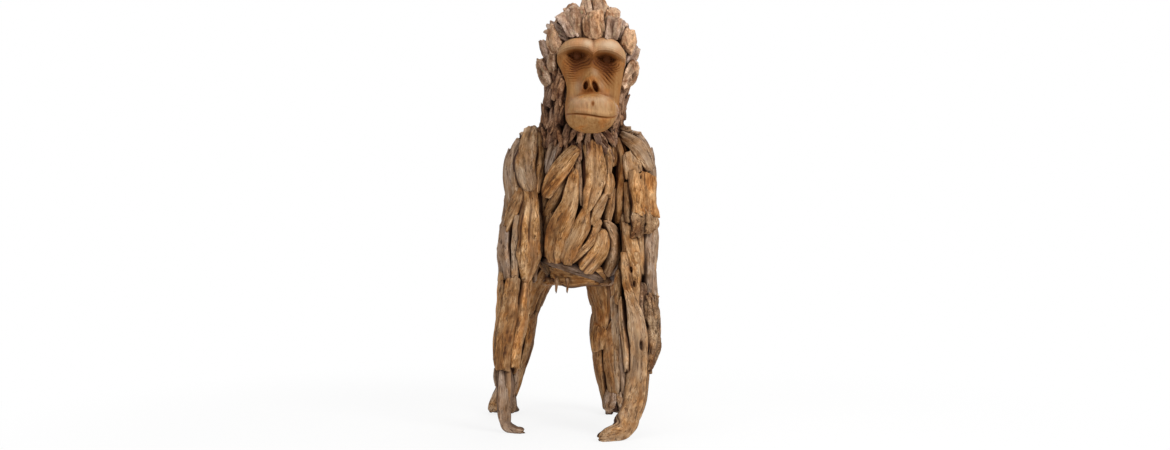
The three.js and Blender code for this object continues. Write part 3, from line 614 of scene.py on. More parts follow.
@dataclass
class GapShade:
    """Finds how far each point of the figure is shut in by the pieces round it, to paint shade into its
    colour.
    """

    pieces: list[bpy.types.Object]
    # Pieces that take less of the painted gap shade, by how their names begin, with their share of it.
    mild: tuple[tuple[str, float], ...] = (("face", 0.3), ("crown", 0.85), ("ear", 0.7))
    reach: float = 0.028
    skin: float = 0.0012  # how far off the surface a ray starts
    full: float = 0.98  # cavity that can take no more
    window: tuple[float, float] = (0.12, 0.62)  # share of rays that meet something, from open to shut in
    spread: tuple[tuple[float, int], ...] = ((62, 4), (34, 3))  # degrees off the normal, and rays at each

    def tree(self) -> BVHTree:
        """All pieces and timber blocks as one tree of faces."""
        corners, faces = [], []
        for piece in [*self.pieces, *(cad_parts[name] for name in BLOCKS)]:
            start = len(corners)
            corners.extend(point.co.to_tuple() for point in piece.data.vertices)
            faces.extend([start + corner for corner in face.vertices] for face in piece.data.polygons)
        return BVHTree.FromPolygons(corners, faces)

    def directions(self, normals: np.ndarray) -> np.ndarray:
        """Rays round each normal, one row of directions a point."""
        helper = np.where(np.abs(normals[:, 2:]) < 0.8, [0.0, 0.0, 1.0], [1.0, 0.0, 0.0])
        side = np.cross(normals, helper)
        side = side / np.maximum(np.linalg.norm(side, axis=1, keepdims=True), 1e-9)
        up = np.cross(normals, side)
        rays = []
        for off, count in self.spread:
            for index in range(count):
                turn = 2 * math.pi * index / count + off
                flat = side * math.cos(turn) + up * math.sin(turn)
                rays.append(normals * math.cos(math.radians(off)) + flat * math.sin(math.radians(off)))
        return np.stack(rays, axis=1)

    def darken(self) -> None:
        """Adds what it finds to each piece's cavity, as painted shade in the gaps between pieces."""
        cast = self.tree().ray_cast
        for piece in self.pieces:
            mesh = piece.data
            points, normals = (np.empty(len(mesh.vertices) * 3) for _ in range(2))
            mesh.vertices.foreach_get("co", points)
            mesh.vertices.foreach_get("normal", normals)
            points, normals = points.reshape(-1, 3), normals.reshape(-1, 3)
            starts = (points + normals * self.skin).tolist()
            shut = np.zeros(len(points))
            rays = self.directions(normals)
            layer = mesh.attributes["wear"]
            wear = np.empty(len(points) * 3, np.float32)
            layer.data.foreach_get("vector", wear)
            wear = wear.reshape(-1, 3)
            for row in np.flatnonzero(wear[:, 1] < self.full).tolist():
                start, total = starts[row], 0.0
                for way in rays[row].tolist():
                    distance = cast(start, way, self.reach)[3]
                    if distance is not None:
                        total += 1 - 0.6 * distance / self.reach
                shut[row] = total
            shut = step_up(shut / rays.shape[1], *self.window)
            shut = shut * next((share for name, share in self.mild if piece.name.startswith(name)), 1.0)
            wear[:, 1] = wear[:, 1] * (1 - shut) + shut
            layer.data.foreach_set("vector", wear.ravel())


NOISE_ROUGHNESS = 0.62
MIX_COLOURS, MIX_RESULT = (6, 7), 2  # sockets of a mix node that hold colours
# Colours that wash over the wood: where it glows, is stained, is rubbed and painted with a highlight, takes
# painted shade in its hollows, is pitted or flecked.
GLOW = (1.10, 0.90, 0.62)
STAIN = (0.42, 0.33, 0.26)
RUBBED_AND_HIGHLIGHT = (1.62, 1.82, 2.10)
HOLLOW_SHADE = (0.105, 0.045, 0.019)
PIT = (0.30, 0.20, 0.13)
FLECK = (0.46, 0.44, 0.22)
# How single roots differ in tone.
TONES = (
    (0.0, (1.14, 1.02, 0.84)), (0.2, (1.12, 1.08, 1.0)), (0.4, (0.92, 0.87, 0.79)), (0.6, (1.05, 1.04, 1.0)),
    (0.8, (0.96, 0.94, 0.96)), (1.0, (0.88, 0.90, 0.96)),
)


@dataclass(frozen=True)
class Wiring:
    """Adds nodes to a tree and links them."""

    tree: bpy.types.NodeTree

    def node(self, kind: str, *feeds: object, **settings: str) -> bpy.types.Node:
        """Adds a node.

        Args:
            kind: Its type.
            feeds: What goes into its first inputs: sockets, numbers or colours.
            settings: Its own settings by name.

        Returns:
            The node.
        """
        made = self.tree.nodes.new(kind)
        for name, value in settings.items():
            setattr(made, name, value)
        for entry, value in zip(made.inputs, feeds):
            self.feed(entry, value)
        return made

    def feed(self, entry: bpy.types.NodeSocket, value: object) -> None:
        """Links a socket to an input, or gives the input a number, a vector or a colour."""
        if isinstance(value, bpy.types.NodeSocket):
            self.tree.links.new(value, entry)
        else:
            entry.default_value = (*value, 1) if entry.type == "RGBA" else value

    def fill(self, node: bpy.types.Node, values: dict[str, object]) -> bpy.types.NodeSocket:
        """Feeds a node's inputs by their names, and gives its first output."""
        for name, value in values.items():
            self.feed(node.inputs[name], value)
        return node.outputs[0]

    def noise(
        self, vector: bpy.types.NodeSocket, stretch: tuple, detail: float, scale: float = 1.0
    ) -> bpy.types.NodeSocket:
        """Noise stretched along the grain."""
        spot = self.fill(self.node("ShaderNodeMapping", vector), {"Scale": stretch})
        values = {"Scale": scale, "Detail": detail, "Roughness": NOISE_ROUGHNESS}
        return self.fill(self.node("ShaderNodeTexNoise", spot), values)

    def math(self, operation: str, *values: object) -> bpy.types.NodeSocket:
        """One step of arithmetic on sockets and numbers."""
        return self.node("ShaderNodeMath", *values, operation=operation).outputs[0]

    def times(self, first: object, second: object) -> bpy.types.NodeSocket:
        """Two values multiplied."""
        return self.math("MULTIPLY", first, second)

    def total(self, base: object, *shares: tuple[bpy.types.NodeSocket, float]) -> bpy.types.NodeSocket:
        """A base with shares of other values added to it."""
        for value, share in shares:
            base = self.math("MULTIPLY_ADD", value, share, base)
        return base

    def most(self, first: bpy.types.NodeSocket, *others: bpy.types.NodeSocket) -> bpy.types.NodeSocket:
        """The greatest of some values."""
        for other in others:
            first = self.math("MAXIMUM", first, other)
        return first

    def clamp(self, value: bpy.types.NodeSocket) -> bpy.types.NodeSocket:
        """A value kept between 0 and 1."""
        return self.node("ShaderNodeClamp", value).outputs[0]

    def ramp(self, value: bpy.types.NodeSocket, *limits: float) -> bpy.types.NodeSocket:
        """0 below the first limit and 1 above the second, smooth between, or the two results given next."""
        return self.node("ShaderNodeMapRange", value, *limits, interpolation_type="SMOOTHSTEP").outputs[0]

    def veins(
        self, value: bpy.types.NodeSocket, low: float, high: float, depth: float
    ) -> bpy.types.NodeSocket:
        """Thin lines of some depth where a noise crosses its middle."""
        off = self.math("ABSOLUTE", self.math("SUBTRACT", value, 0.5))
        return self.total(depth, (self.ramp(off, low, high), -depth))

    def mix(self, blend: str, factor: object, first: object, second: object) -> bpy.types.NodeSocket:
        """Two colours mixed."""
        made = self.node("ShaderNodeMix", factor, data_type="RGBA", blend_type=blend)
        for slot, value in zip(MIX_COLOURS, (first, second)):
            self.feed(made.inputs[slot], value)
        return made.outputs[MIX_RESULT]

    def shades(self, value: bpy.types.NodeSocket, *stops: tuple[float, tuple]) -> bpy.types.NodeSocket:
        """A colour read off stops, each a place and its colour, from the lowest to the highest."""
        made = self.node("ShaderNodeValToRGB", value)
        elements = made.color_ramp.elements
        for element, (place, colour) in zip(elements, (stops[0], stops[-1])):
            element.position, element.color = place, (*colour, 1)
        for place, colour in stops[1:-1]:
            elements.new(place).color = (*colour, 1)
        return made.outputs[0]


@dataclass(frozen=True)
class WoodFinish:
    """Old wood, coloured along its grain.

    dark, middle, light and grey are linear colours. patina is how much grey lies over it, streak how
    long its grain runs, warmth how far it glows, and drop how far its darkest places are lightened.
    fleck and pitted are the depths of its pale specks and of its net of pits.
    """

    name: str
    dark: tuple[float, float, float]
    middle: tuple[float, float, float]
    light: tuple[float, float, float]
    grey: tuple[float, float, float]
    patina: float = 0.35
    roughness: float = 0.78
    shine: float = 0.28
    bump: float = 0.6
    rough_depth: float = 0.0016
    fleck: float = 0.0
    streak: float = 1.0
    warmth: float = 0.8
    drop: float = 0.0
    pitted: float = 0.0

    def build(self) -> bpy.types.Material:
        """Makes the material."""
        material = bpy.data.materials.new(self.name)
        material.use_nodes = True
        wires = Wiring(material.node_tree)
        wear = wires.node("ShaderNodeSeparateXYZ", self.attribute(wires, "wear")).outputs
        colour, height = self.surface(wires, self.attribute(wires, "grain"), wear)
        rough = {"Strength": self.bump, "Distance": self.rough_depth, "Height": height}
        shell = {
            "Base Color": colour,
            "Roughness": self.roughness,
            "Specular IOR Level": self.shine,
            "Normal": wires.fill(wires.node("ShaderNodeBump"), rough),
        }
        wires.fill(wires.tree.nodes["Principled BSDF"], shell)
        return material

    def attribute(self, wires: Wiring, name: str) -> bpy.types.NodeSocket:
        """A named attribute of the mesh."""
        return wires.node("ShaderNodeAttribute", attribute_name=name).outputs["Vector"]

    def surface(self, wires: Wiring, grain: bpy.types.NodeSocket, wear: bpy.types.NodeOutputs) -> tuple:
        """Works out the wood's look.

        Args:
            wires: The material's nodes.
            grain: Coordinates that follow the grain.
            wear: Tone, cavity and knot; the cavity is painted shade in hollows and, below 0, wear and a
                painted highlight on edges.

        Returns:
            The sockets of its colour and of its height.
        """
        tone, cavity, knot = wear
        short = 1 + 2.2 * (1 - self.streak)
        fine = wires.noise(grain, (330, 70 * short, 330), 5)
        bands = wires.noise(grain, (100, 17 * short, 100), 6)
        clouds = wires.noise(grain, (24, 17, 24), 6)
        mottle = wires.noise(grain, (78, 48, 78), 5)
        crack = wires.ramp(wires.noise(grain, (130, 20 * short, 130), 4), 0.34, 0.41)
        splits = wires.veins(wires.noise(grain, (64, 8 * short, 64), 4), 0.003, 0.020, 1.0)
        splits = wires.times(splits, wires.ramp(mottle, 0.42, 0.56))

        figure = wires.total(
            0.03, (bands, 0.28 * self.streak), (clouds, 0.48), (mottle, 0.34), (fine, 0.24 * self.streak)
        )
        wood = wires.shades(
            figure,
            (0.535 - self.drop, self.dark),
            (0.668 - self.drop, self.middle),
            (0.815 - self.drop, self.light),
        )
        glow = wires.times(wires.ramp(wires.noise(grain, (26, 13, 26), 3, 1.3), 0.44, 0.64), self.warmth)
        wood = wires.mix("MULTIPLY", glow, wood, GLOW)
        stains = wires.times(wires.ramp(wires.noise(grain, (50, 24, 50), 6, 0.9), 0.56, 0.68), 0.60)
        wood = wires.mix("MULTIPLY", stains, wood, STAIN)
        greyed = wires.clamp(wires.total(-1.95, (clouds, 4.2), (tone, 0.60)))
        wood = wires.mix("MIX", wires.times(greyed, self.patina), wood, self.grey)
        wood = wires.mix("MULTIPLY", 1.0, wood, wires.shades(tone, *TONES))
        # Paler along the roots' edges: partly wear, partly a painted highlight.
        edges = wires.times(wires.clamp(wires.times(cavity, -1.0)), wires.ramp(fine, 0.40, 0.60))
        wood = wires.mix("MULTIPLY", edges, wood, RUBBED_AND_HIGHLIGHT)
        # Painted shade darkens the hollows, gaps and knot holes, from the cavity and knot values, along with
        # the wood's own dark cracks and splits.
        cracks_and_shade = wires.most(
            wires.total(0.70 * self.streak, (crack, -0.70 * self.streak)),
            wires.times(splits, 0.85 * self.streak),
            wires.times(wires.clamp(cavity), 0.97),
            knot,
        )
        wood = wires.mix("MULTIPLY", cracks_and_shade, wood, HOLLOW_SHADE)
        if self.pitted > 0:
            net = wires.veins(wires.noise(grain, (120, 95, 120), 3), 0.0, 0.035, self.pitted)
            wood = wires.mix("MULTIPLY", net, wood, PIT)
        if self.fleck > 0:
            spots = wires.ramp(wires.noise(grain, (130, 90, 130), 2), 0.60, 0.68)
            wood = wires.mix("MIX", wires.times(spots, self.fleck), wood, FLECK)
        pits = wires.noise(grain, (110, 70, 110), 5)
        height = wires.times(bands, self.streak)
        return wood, wires.total(height, (fine, 0.5), (splits, -0.9 * self.streak), (crack, 0.8), (pits, 1.6))


BROWN_ROOT = WoodFinish(
    "brown root", dark=(0.100, 0.040, 0.013), middle=(0.300, 0.148, 0.052), light=(0.570, 0.350, 0.176),
    grey=(0.300, 0.208, 0.140), patina=0.45,
)
GREY_ROOT = WoodFinish(
    "grey root", dark=(0.115, 0.055, 0.024), middle=(0.290, 0.165, 0.080), light=(0.500, 0.330, 0.190),
    grey=(0.330, 0.245, 0.185), patina=0.62,
)
BARK_ROOT = WoodFinish(
    "bark root", dark=(0.230, 0.115, 0.060), middle=(0.660, 0.440, 0.292), light=(0.960, 0.780, 0.620),
    grey=(0.640, 0.500, 0.400), patina=0.50, bump=0.9, fleck=0.30, roughness=0.88, warmth=0.45, streak=0.3,
    rough_depth=0.0024, pitted=0.75, drop=0.07,
)
MANE_ROOT = WoodFinish(
    "mane root", dark=(0.090, 0.034, 0.015), middle=(0.450, 0.235, 0.122), light=(0.740, 0.490, 0.310),
    grey=(0.480, 0.325, 0.225), patina=0.40, bump=0.9, roughness=0.88, warmth=0.6, streak=0.6,
    rough_depth=0.0030, pitted=0.6,
)
NET_ROOT = WoodFinish(
    "net root", dark=(0.130, 0.058, 0.022), middle=(0.420, 0.240, 0.112), light=(0.700, 0.490, 0.285),
    grey=(0.480, 0.360, 0.245), patina=0.40, bump=0.9, streak=0.6, rough_depth=0.0034, pitted=1.0,
)
DARK_ROOT = WoodFinish(
    "dark root", dark=(0.045, 0.022, 0.012), middle=(0.130, 0.075, 0.046), light=(0.260, 0.170, 0.115),
    grey=(0.200, 0.145, 0.115), patina=0.50, roughness=0.9, warmth=0.4,
)


@dataclass(frozen=True)
class Lineup:
    """The figure's members, set where the frame has them."""

    trunk: Member
    head: Member
    arm_right: Member
    arm_left: Member
    leg_right: Member
    leg_left: Member


TRUNK_SECTIONS = (
    (0, -12, 60, 88, 195), (12, -12, 65, 122, 242), (30, -12, 70, 140, 262), (48, -12, 58, 148, 255),
    (66, -12, 22, 152, 212), (81, -10, -15, 146, 165), (92, -4, -45, 122, 122), (100, 2, -62, 92, 90),
)
HEAD_SECTIONS = (
    (0, -6, -98, 114, 92), (14, -4, -112, 110, 95), (32, 3, -132, 104, 100), (49, 12, -150, 106, 110),
    (66, 14, -155, 112, 118), (80, 14, -150, 102, 110), (92, 14, -145, 82, 88), (100, 14, -140, 44, 46),
)
ARM_RIGHT_SECTIONS = (
    (0, -222, -160, 20, 22), (6, -222, -150, 27, 28), (13, -218, -140, 33, 36), (21, -210, -122, 38, 42),
    (31, -203, -108, 40, 46), (41, -195, -98, 43, 52), (51, -186, -92, 52, 60), (61, -181, -88, 54, 68),
    (72, -172, -86, 49, 76), (84, -177, -84, 54, 78), (94, -167, -80, 46, 68), (100, -154, -76, 34, 46),
)
ARM_LEFT_SECTIONS = (
    (0, 128, -222, 26, 28), (6, 135, -205, 38, 36), (13, 142, -186, 50, 44), (21, 143, -165, 56, 48),
    (31, 143, -146, 55, 50), (41, 146, -128, 48, 52), (51, 149, -112, 42, 58), (61, 150, -100, 42, 66),
    (72, 147, -92, 41, 72), (84, 147, -86, 43, 76), (94, 140, -80, 42, 66), (100, 128, -76, 34, 46),
)
LEG_RIGHT_SECTIONS = (
    (0, -246, 222, 25, 28), (18, -226, 198, 30, 38), (34, -210, 176, 37, 46), (50, -198, 166, 42, 56),
    (68, -168, 186, 52, 72), (84, -124, 204, 66, 86), (100, -100, 210, 70, 90),
)
LEG_LEFT_SECTIONS = (
    (0, 90, 222, 25, 28), (18, 78, 198, 32, 38), (34, 75, 176, 42, 46), (50, 79, 166, 43, 56),
    (68, 68, 186, 50, 72), (84, 62, 204, 62, 86), (100, 58, 210, 65, 90),
)


def line_up() -> Lineup:
    """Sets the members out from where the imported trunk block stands."""
    low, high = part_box("trunk_block")
    rearmost = max(y + half_depth for _, _, y, _, half_depth in TRUNK_SECTIONS)
    _, lean, *_ = TRUNK_SECTIONS[0]
    place = ((low.x + high.x) / 2 - lean * MM, high.y - (rearmost * MM - BLOCK_INSET))
    arm_top = BELLY_HEIGHT + TRUNK_HEIGHT * ARM_TOP_LEVEL / 100
    hip = BELLY_HEIGHT + TRUNK_HEIGHT * HIP_LEVEL / 100
    neck = BELLY_HEIGHT + TRUNK_HEIGHT * HEAD_FOOT_LEVEL / 100
    return Lineup(
        trunk=Member(BELLY_HEIGHT, TRUNK_HEIGHT, TRUNK_SECTIONS, place),
        head=Member(neck, HEAD_HEIGHT, HEAD_SECTIONS, place),
        arm_right=Member(WRIST_HEIGHT, arm_top - WRIST_HEIGHT, ARM_RIGHT_SECTIONS, place),
        arm_left=Member(WRIST_HEIGHT, arm_top - WRIST_HEIGHT, ARM_LEFT_SECTIONS, place),
        leg_right=Member(ANKLE_HEIGHT, hip - ANKLE_HEIGHT, LEG_RIGHT_SECTIONS, place),
        leg_left=Member(ANKLE_HEIGHT, hip - ANKLE_HEIGHT, LEG_LEFT_SECTIONS, place),
    )


KNOTTY = 0.25  # share of the strewn roots that have a knot


def strew(
    seed: int,
    angles: tuple[float, float],
    levels: tuple[float, float],
    columns: int,
    rows: int,
    width_mm: float,
    crown_mm: float = 14,
    cut: Cut = Cut.SPLIT,
    lift_mm: float = 0.0,
    flare_mm: float = 0.0,
    slant: float = 0.5,
) -> list[Root]:
    """Roots laid side by side over part of a member, with uneven ends.

    Args:
        seed: Picks one arrangement.
        angles: First and last angle.
        levels: Lowest and highest level.
        columns: Roots side by side.
        rows: Roots end to end.
        width_mm: Typical width.
        crown_mm: Typical height above the surface.
        cut: How they were worked.
        lift_mm: How far all of them stand off.
        flare_mm: How far their upper tips stand off.
        slant: How much they lean, as a share of their spacing.

    Returns:
        The roots.
    """
    rng = np.random.default_rng(seed)
    pitch = (angles[1] - angles[0]) / columns
    rise = (levels[1] - levels[0]) / rows
    roots = []
    for column in range(columns):
        for row in range(rows):
            middle = angles[0] + pitch * (column + 0.5 + rng.uniform(-0.12, 0.12))
            low = levels[0] + rise * (row + (rng.uniform(-0.22, 0.1) if row else rng.uniform(-0.03, 0.06)))
            high = levels[0] + rise * (row + 1.06 + rng.uniform(-0.14, 0.2))
            lean = pitch * slant * rng.uniform(-1, 1)
            bow = pitch * 0.25 * rng.uniform(-1, 1)
            width = width_mm * rng.uniform(0.78, 1.22)
            lift = lift_mm + rng.uniform(-6, 2)
            line = (
                (middle - lean, low, lift),
                (middle + bow, (low + high) / 2, lift),
                (middle + lean, high, lift + flare_mm),
            )
            widths = (width * rng.uniform(0.5, 0.9), width, width * rng.uniform(0.45, 0.85))
            ends = (rng.uniform(0.06, 0.25), rng.uniform(0.06, 0.32))
            knots = ()
            if rng.random() < KNOTTY:
                knots = ((rng.uniform(-0.6, 0.6), rng.uniform(0.25, 0.75), width * 0.13, 5),)
            crown = crown_mm * rng.uniform(0.6, 1.0)
            seed = int(rng.integers(1, 9999))
            twist = float(rng.uniform(-0.8, 0.8))
            roots.append(Root(line, widths, crown, cut, None, ends, seed, knots, twist, detail=0.8))
    return roots


@dataclass
class Chest:
    """The front of the trunk."""

    trunk: Member

    def pieces(self) -> list[Cluster]:
        """Lays out the roots of the chest and belly."""
        over = Layout(self.trunk)
        piece, root = over.piece, over.root
        split, worn, bark = Cut.SPLIT, Cut.WORN, Cut.BARK
        piece("chest_right_diagonal", "root", "brown_root")
        root(((-4, 83, 9), (-21, 68, 10), (-39, 54, 7)), (30, 54, 44), 18, worn, 0.1, (0.2, 0.15), 52)
        piece("collar_right", "roots", "grey_root")
        root(((-35, 96, 4), (-31, 82, 4), (-36, 68, 2)), (34, 38, 24), 15, bark, 0.9, (0.1, 0.25), 63)
        root(((-16, 97, 2), (-15, 88, 2), (-14, 76, 0)), (34, 30, 22), 13, bark, 0.8, (0.1, 0.3), 64)
        root(((-50, 92, 0), (-48, 78, 0), (-46, 62, 0)), (36, 38, 28), 12, bark, 0.7, (0.1, 0.2), 65)
        root(((2, 98, 0), (0, 92, 0), (-2, 84, 0)), (34, 34, 24), 12, bark, 0.8, (0.1, 0.2), 66)
        piece("belly_right_plank", "root", "brown_root")
        root(((-6, 70, 2), (-12, 50, 5), (-27, 28, 5), (-36, 10, 3)), (22, 54, 76, 56), 17, split, 0.15,
             (0.3, 0.14), 53)
        root(((-17, 64, 0), (-28, 52, 2), (-43, 40, 0)), (18, 28, 22), 14, split, 0.5, (0.2, 0.2), 54)
        root(((-42, 60, -2), (-46, 44, 0), (-48, 24, 0)), (24, 36, 28), 12, split, 0.6, (0.2, 0.2), 50)
        root(((-34, 44, -3), (-43, 30, -2), (-48, 12, -2)), (28, 34, 26), 12, split, 0.4, (0.2, 0.2), 49)
        piece("chest_centre_plank", "root", "brown_root")
        root(((12, 88, 4), (13, 64, 6), (6, 42, 3)), (52, 66, 20), 16, split, 0.25, (0.1, 0.4), 51)
        root(((-3, 78, 0), (-2, 62, 1), (2, 47, 0)), (16, 22, 14), 12, split, 0.95, (0.2, 0.3), 60)
        root(((-10, 76, -2), (-10, 62, -2), (-8, 52, -2)), (20, 24, 16), 11, split, 0.6, (0.2, 0.3), 59)
        piece("belly_centre_plank", "root", "brown_root")
        root(((5, 47, 2), (-3, 30, 4), (-19, 11, 2)), (22, 56, 44), 15, split, 0.3, (0.35, 0.15), 55)
        piece("belly_scoop", "roots", "brown_root")
        root(((23, 33, 4), (21, 19, 6), (4, 7, 3)), (30, 64, 52), 19, worn, 0.2, (0.3, 0.2), 56)
        root(((19, 39, 0), (10, 24, 2), (-11, 12, 1)), (24, 28, 18), 15, worn, 0.3, (0.3, 0.25), 57)
        root(((27, 54, 2), (18, 44, 2), (12, 35, 1)), (22, 35, 22), 14, worn, 0.55, (0.25, 0.25), 58)
        piece("belly_left_plank", "root", "brown_root")
        root(((26, 37, 6), (41, 23, 9), (42, 4, 4)), (24, 74, 42), 20, worn, 0.75, (0.35, 0.2), 62)
        piece("chest_left_slats", "roots", "brown_root")
        root(((29, 84, 3), (29, 76, 3), (28, 65, 2)), (26, 32, 28), 14, split, 0.4, (0.06, 0.08), 70)
        root(((29, 66, 2), (29, 60, 3), (27, 53, 2)), (28, 36, 28), 15, split, 0.2, (0.06, 0.1), 71)
        root(((46, 90, 8), (45, 74, 14), (42, 54, 12), (44, 36, 4)), (28, 38, 34, 24), 16, worn, 0.0,
             (0.12, 0.2), 72)
        root(((35, 58, 0), (33, 48, 0), (30, 36, 0)), (20, 28, 20), 12, split, 0.5, (0.2, 0.2), 73)
        root(((20, 92, 0), (22, 82, -2), (22, 68, -2)), (26, 24, 18), 11, split, 0.6, (0.2, 0.2), 74)
        root(((36, 94, -1), (38, 84, -1), (37, 72, -1)), (34, 32, 26), 12, worn, 0.35, (0.2, 0.2), 75)
        piece("belly_rail", "root", "rough_timber", "dark_root")
        root(((-57, 14, 8), (-8, 7, 14), (50, -2, 12)), (19, 23, 19), 11, split, 0.5, (0.04, 0.04), 76)
        return over.pieces


@dataclass
class Arm:
    """One arm down to its wrist."""

    arm: Member

    def tops(self, x: float, seed: int) -> list[Root]:
        """Two short roots over the flat top of the arm's post, which stands x mm from the middle."""
        return [
            Root(((x + shift, -116, 838), (x + shift * 1.1, -76, 848), (x + shift, -30, 840)), (36, 46, 36),
                 9, Cut.WORN, 0.6, (0.15, 0.15), seed + index)
            for index, shift in enumerate((-16, 15))
        ]

    def brim(self, x: float, seed: int) -> list[Root]:
        """Two roots round the upper end of the arm's post, at its outer side and its rear."""
        out = math.copysign(45, x)
        return [
            Root(((x + out, -124, 800), (x + out * 1.04, -86, 807), (x + out, -44, 800)), (32, 42, 32), 9,
                 Cut.WORN, 0.3, (0.15, 0.15), seed),
            Root(((x - 32, -24, 806), (x, -20, 812), (x + 30, -24, 806)), (32, 42, 32), 9,
                 Cut.WORN, 0.8, (0.15, 0.15), seed + 1),
        ]


@dataclass
class RightArm(Arm):
    """The arm at the figure's right, with a hooked root for its hand."""

    def pieces(self) -> list[Cluster]:
        """Lays out the arm's roots."""
        over = Layout(self.arm)
        piece, root, strips = over.piece, over.root, over.strips
        split, worn, bark = Cut.SPLIT, Cut.WORN, Cut.BARK
        piece("shoulder_right_cap", "root", "grey_root")
        root(((-4, 101, 4), (5, 89, 9), (14, 75, 6)), (40, 68, 42), 20, worn, 0.35, (0.14, 0.14), 101,
             detail=1.3)
        piece("shoulder_right_inner", "root", "brown_root")
        root(((42, 101, 0), (54, 89, 4), (38, 74, 4)), (38, 46, 28), 17, worn, 0.2, (0.15, 0.25), 102)
        root(((76, 99, -2), (78, 88, 0), (66, 74, 0)), (30, 36, 24), 14, worn, 0.7, (0.2, 0.3), 103)
        piece("shoulder_right_outer", "roots", "grey_root")
        root(((-32, 95, -4), (-38, 85, -3), (-36, 71, -2)), (28, 40, 32), 15, worn, 0.75, (0.2, 0.2), 104)
        root(((-66, 92, -10), (-70, 81, -9), (-66, 66, -6)), (32, 44, 34), 12, worn, 0.65, (0.2, 0.2), 105)
        root(((-20, 84, -2), (-22, 77, 0), (-24, 70, 0)), (20, 26, 20), 12, split, 0.6, (0.2, 0.2), 106)
        piece("upper_arm_right_front", "root", "brown_root")
        root(((20, 77, 3), (26, 62, 6), (31, 50, 7), (38, 38, 2)), (50, 64, 72, 34), 21, worn, 0.2,
             (0.07, 0.3), 107, detail=1.3)
        root(((-11, 76, 1), (-27, 68, 4), (-44, 60, 2)), (28, 36, 28), 16, bark, 0.45, (0.14, 0.2), 108)
        root(((58, 74, -2), (62, 64, 0), (60, 54, 0)), (24, 28, 22), 14, split, 0.5, (0.2, 0.2), 99)
        piece("elbow_right", "roots", "grey_root")
        root(((-46, 64, 1), (-46, 51, 3), (-29, 39, 2)), (30, 42, 30), 17, bark, 0.8, (0.15, 0.2), 109,
             ((0.2, 0.35, 7, 9),))
        root(((-10, 66, 0), (-12, 53, 3), (-3, 39, 1)), (20, 25, 18), 16, worn, 0.55, (0.2, 0.25), 110)
        root(((56, 66, 1), (62, 57, 3), (66, 47, 2)), (24, 28, 20), 15, split, 0.35, (0.15, 0.2), 111)
        root(((-78, 62, -2), (-78, 50, 0), (-68, 38, 0)), (30, 36, 28), 13, worn, 0.9, (0.2, 0.2), 112)
        root(((88, 64, 0), (92, 52, 2), (92, 40, 0)), (30, 36, 26), 14, split, 0.5, (0.2, 0.2), 113)
        piece("forearm_right_plank", "root", "brown_root")
        root(((-6, 40, 4), (-10, 23, 5), (-22, 3, 2)), (40, 52, 44), 18, split, 0.4, (0.12, 0.05), 114,
             detail=1.3)
        root(((-46, 38, 0), (-50, 22, 2), (-54, 6, 1)), (26, 30, 22), 14, bark, 0.7, (0.2, 0.1), 115)
        piece("forearm_right_strip", "roots", "brown_root")
        root(((34, 40, 1), (36, 21, 4), (40, 4, 3)), (13, 29, 28), 16, split, 0.1, (0.1, 0.03), 116,
             detail=1.2)
        root(((14, 8, -4), (16, -1, -4), (14, -9, -6)), (16, 18, 14), 10, split, 0.9, (0.1, 0.2), 117)
        root(((58, 36, -2), (62, 22, 0), (64, 6, 0)), (20, 26, 20), 13, split, 0.5, (0.2, 0.1), 118)
        piece("forearm_right_rear", "roots", "brown_root")
        strips(strew(31, (72, 318), (2, 42), 6, 1, 36, 14, split))
        piece("arm_right_rear", "roots", "grey_root")
        strips(strew(32, (84, 298), (38, 90), 6, 2, 50, 13, worn))
        strips(strew(35, (96, 322), (80, 95), 6, 1, 44, 11, worn, -7))
        over.free((-154, -76, 600), *self.tops(-154, 123))
        over.free((-154, -84, 796), *self.brim(-154, 191))
        self.hand(over)
        return over.pieces

    def hand(self, over: Layout) -> None:
        """The hooked root that the arm stands on."""
        spine = ((-226, -152, 236), (-228, -160, 192), (-224, -168, 128), (-229, -176, 66), (-222, -184, 24),
                 (-198, -198, 9), (-172, -207, 7))
        over.piece("hand_right", "root", "grey_root")
        over.free(
            (-226, 300, 150),
            Root(spine, (20, 34, 52, 44, 32, 24, 17), 0, Cut.WORN, 0.8, (0.1, 0.12), 120, detail=1.3,
                 thick=0.9),
            Root(((-252, -128, 176), (-250, -136, 140), (-240, -150, 104)), (14, 22, 12), 0, Cut.SPLIT, 0.9,
                 (0.1, 0.3), 121, thick=0.8),
            Root(((-196, -142, 182), (-197, -150, 140), (-206, -160, 96)), (16, 20, 10), 0, Cut.SPLIT, 0.7,
                 (0.1, 0.3), 122, thick=0.8),
        )


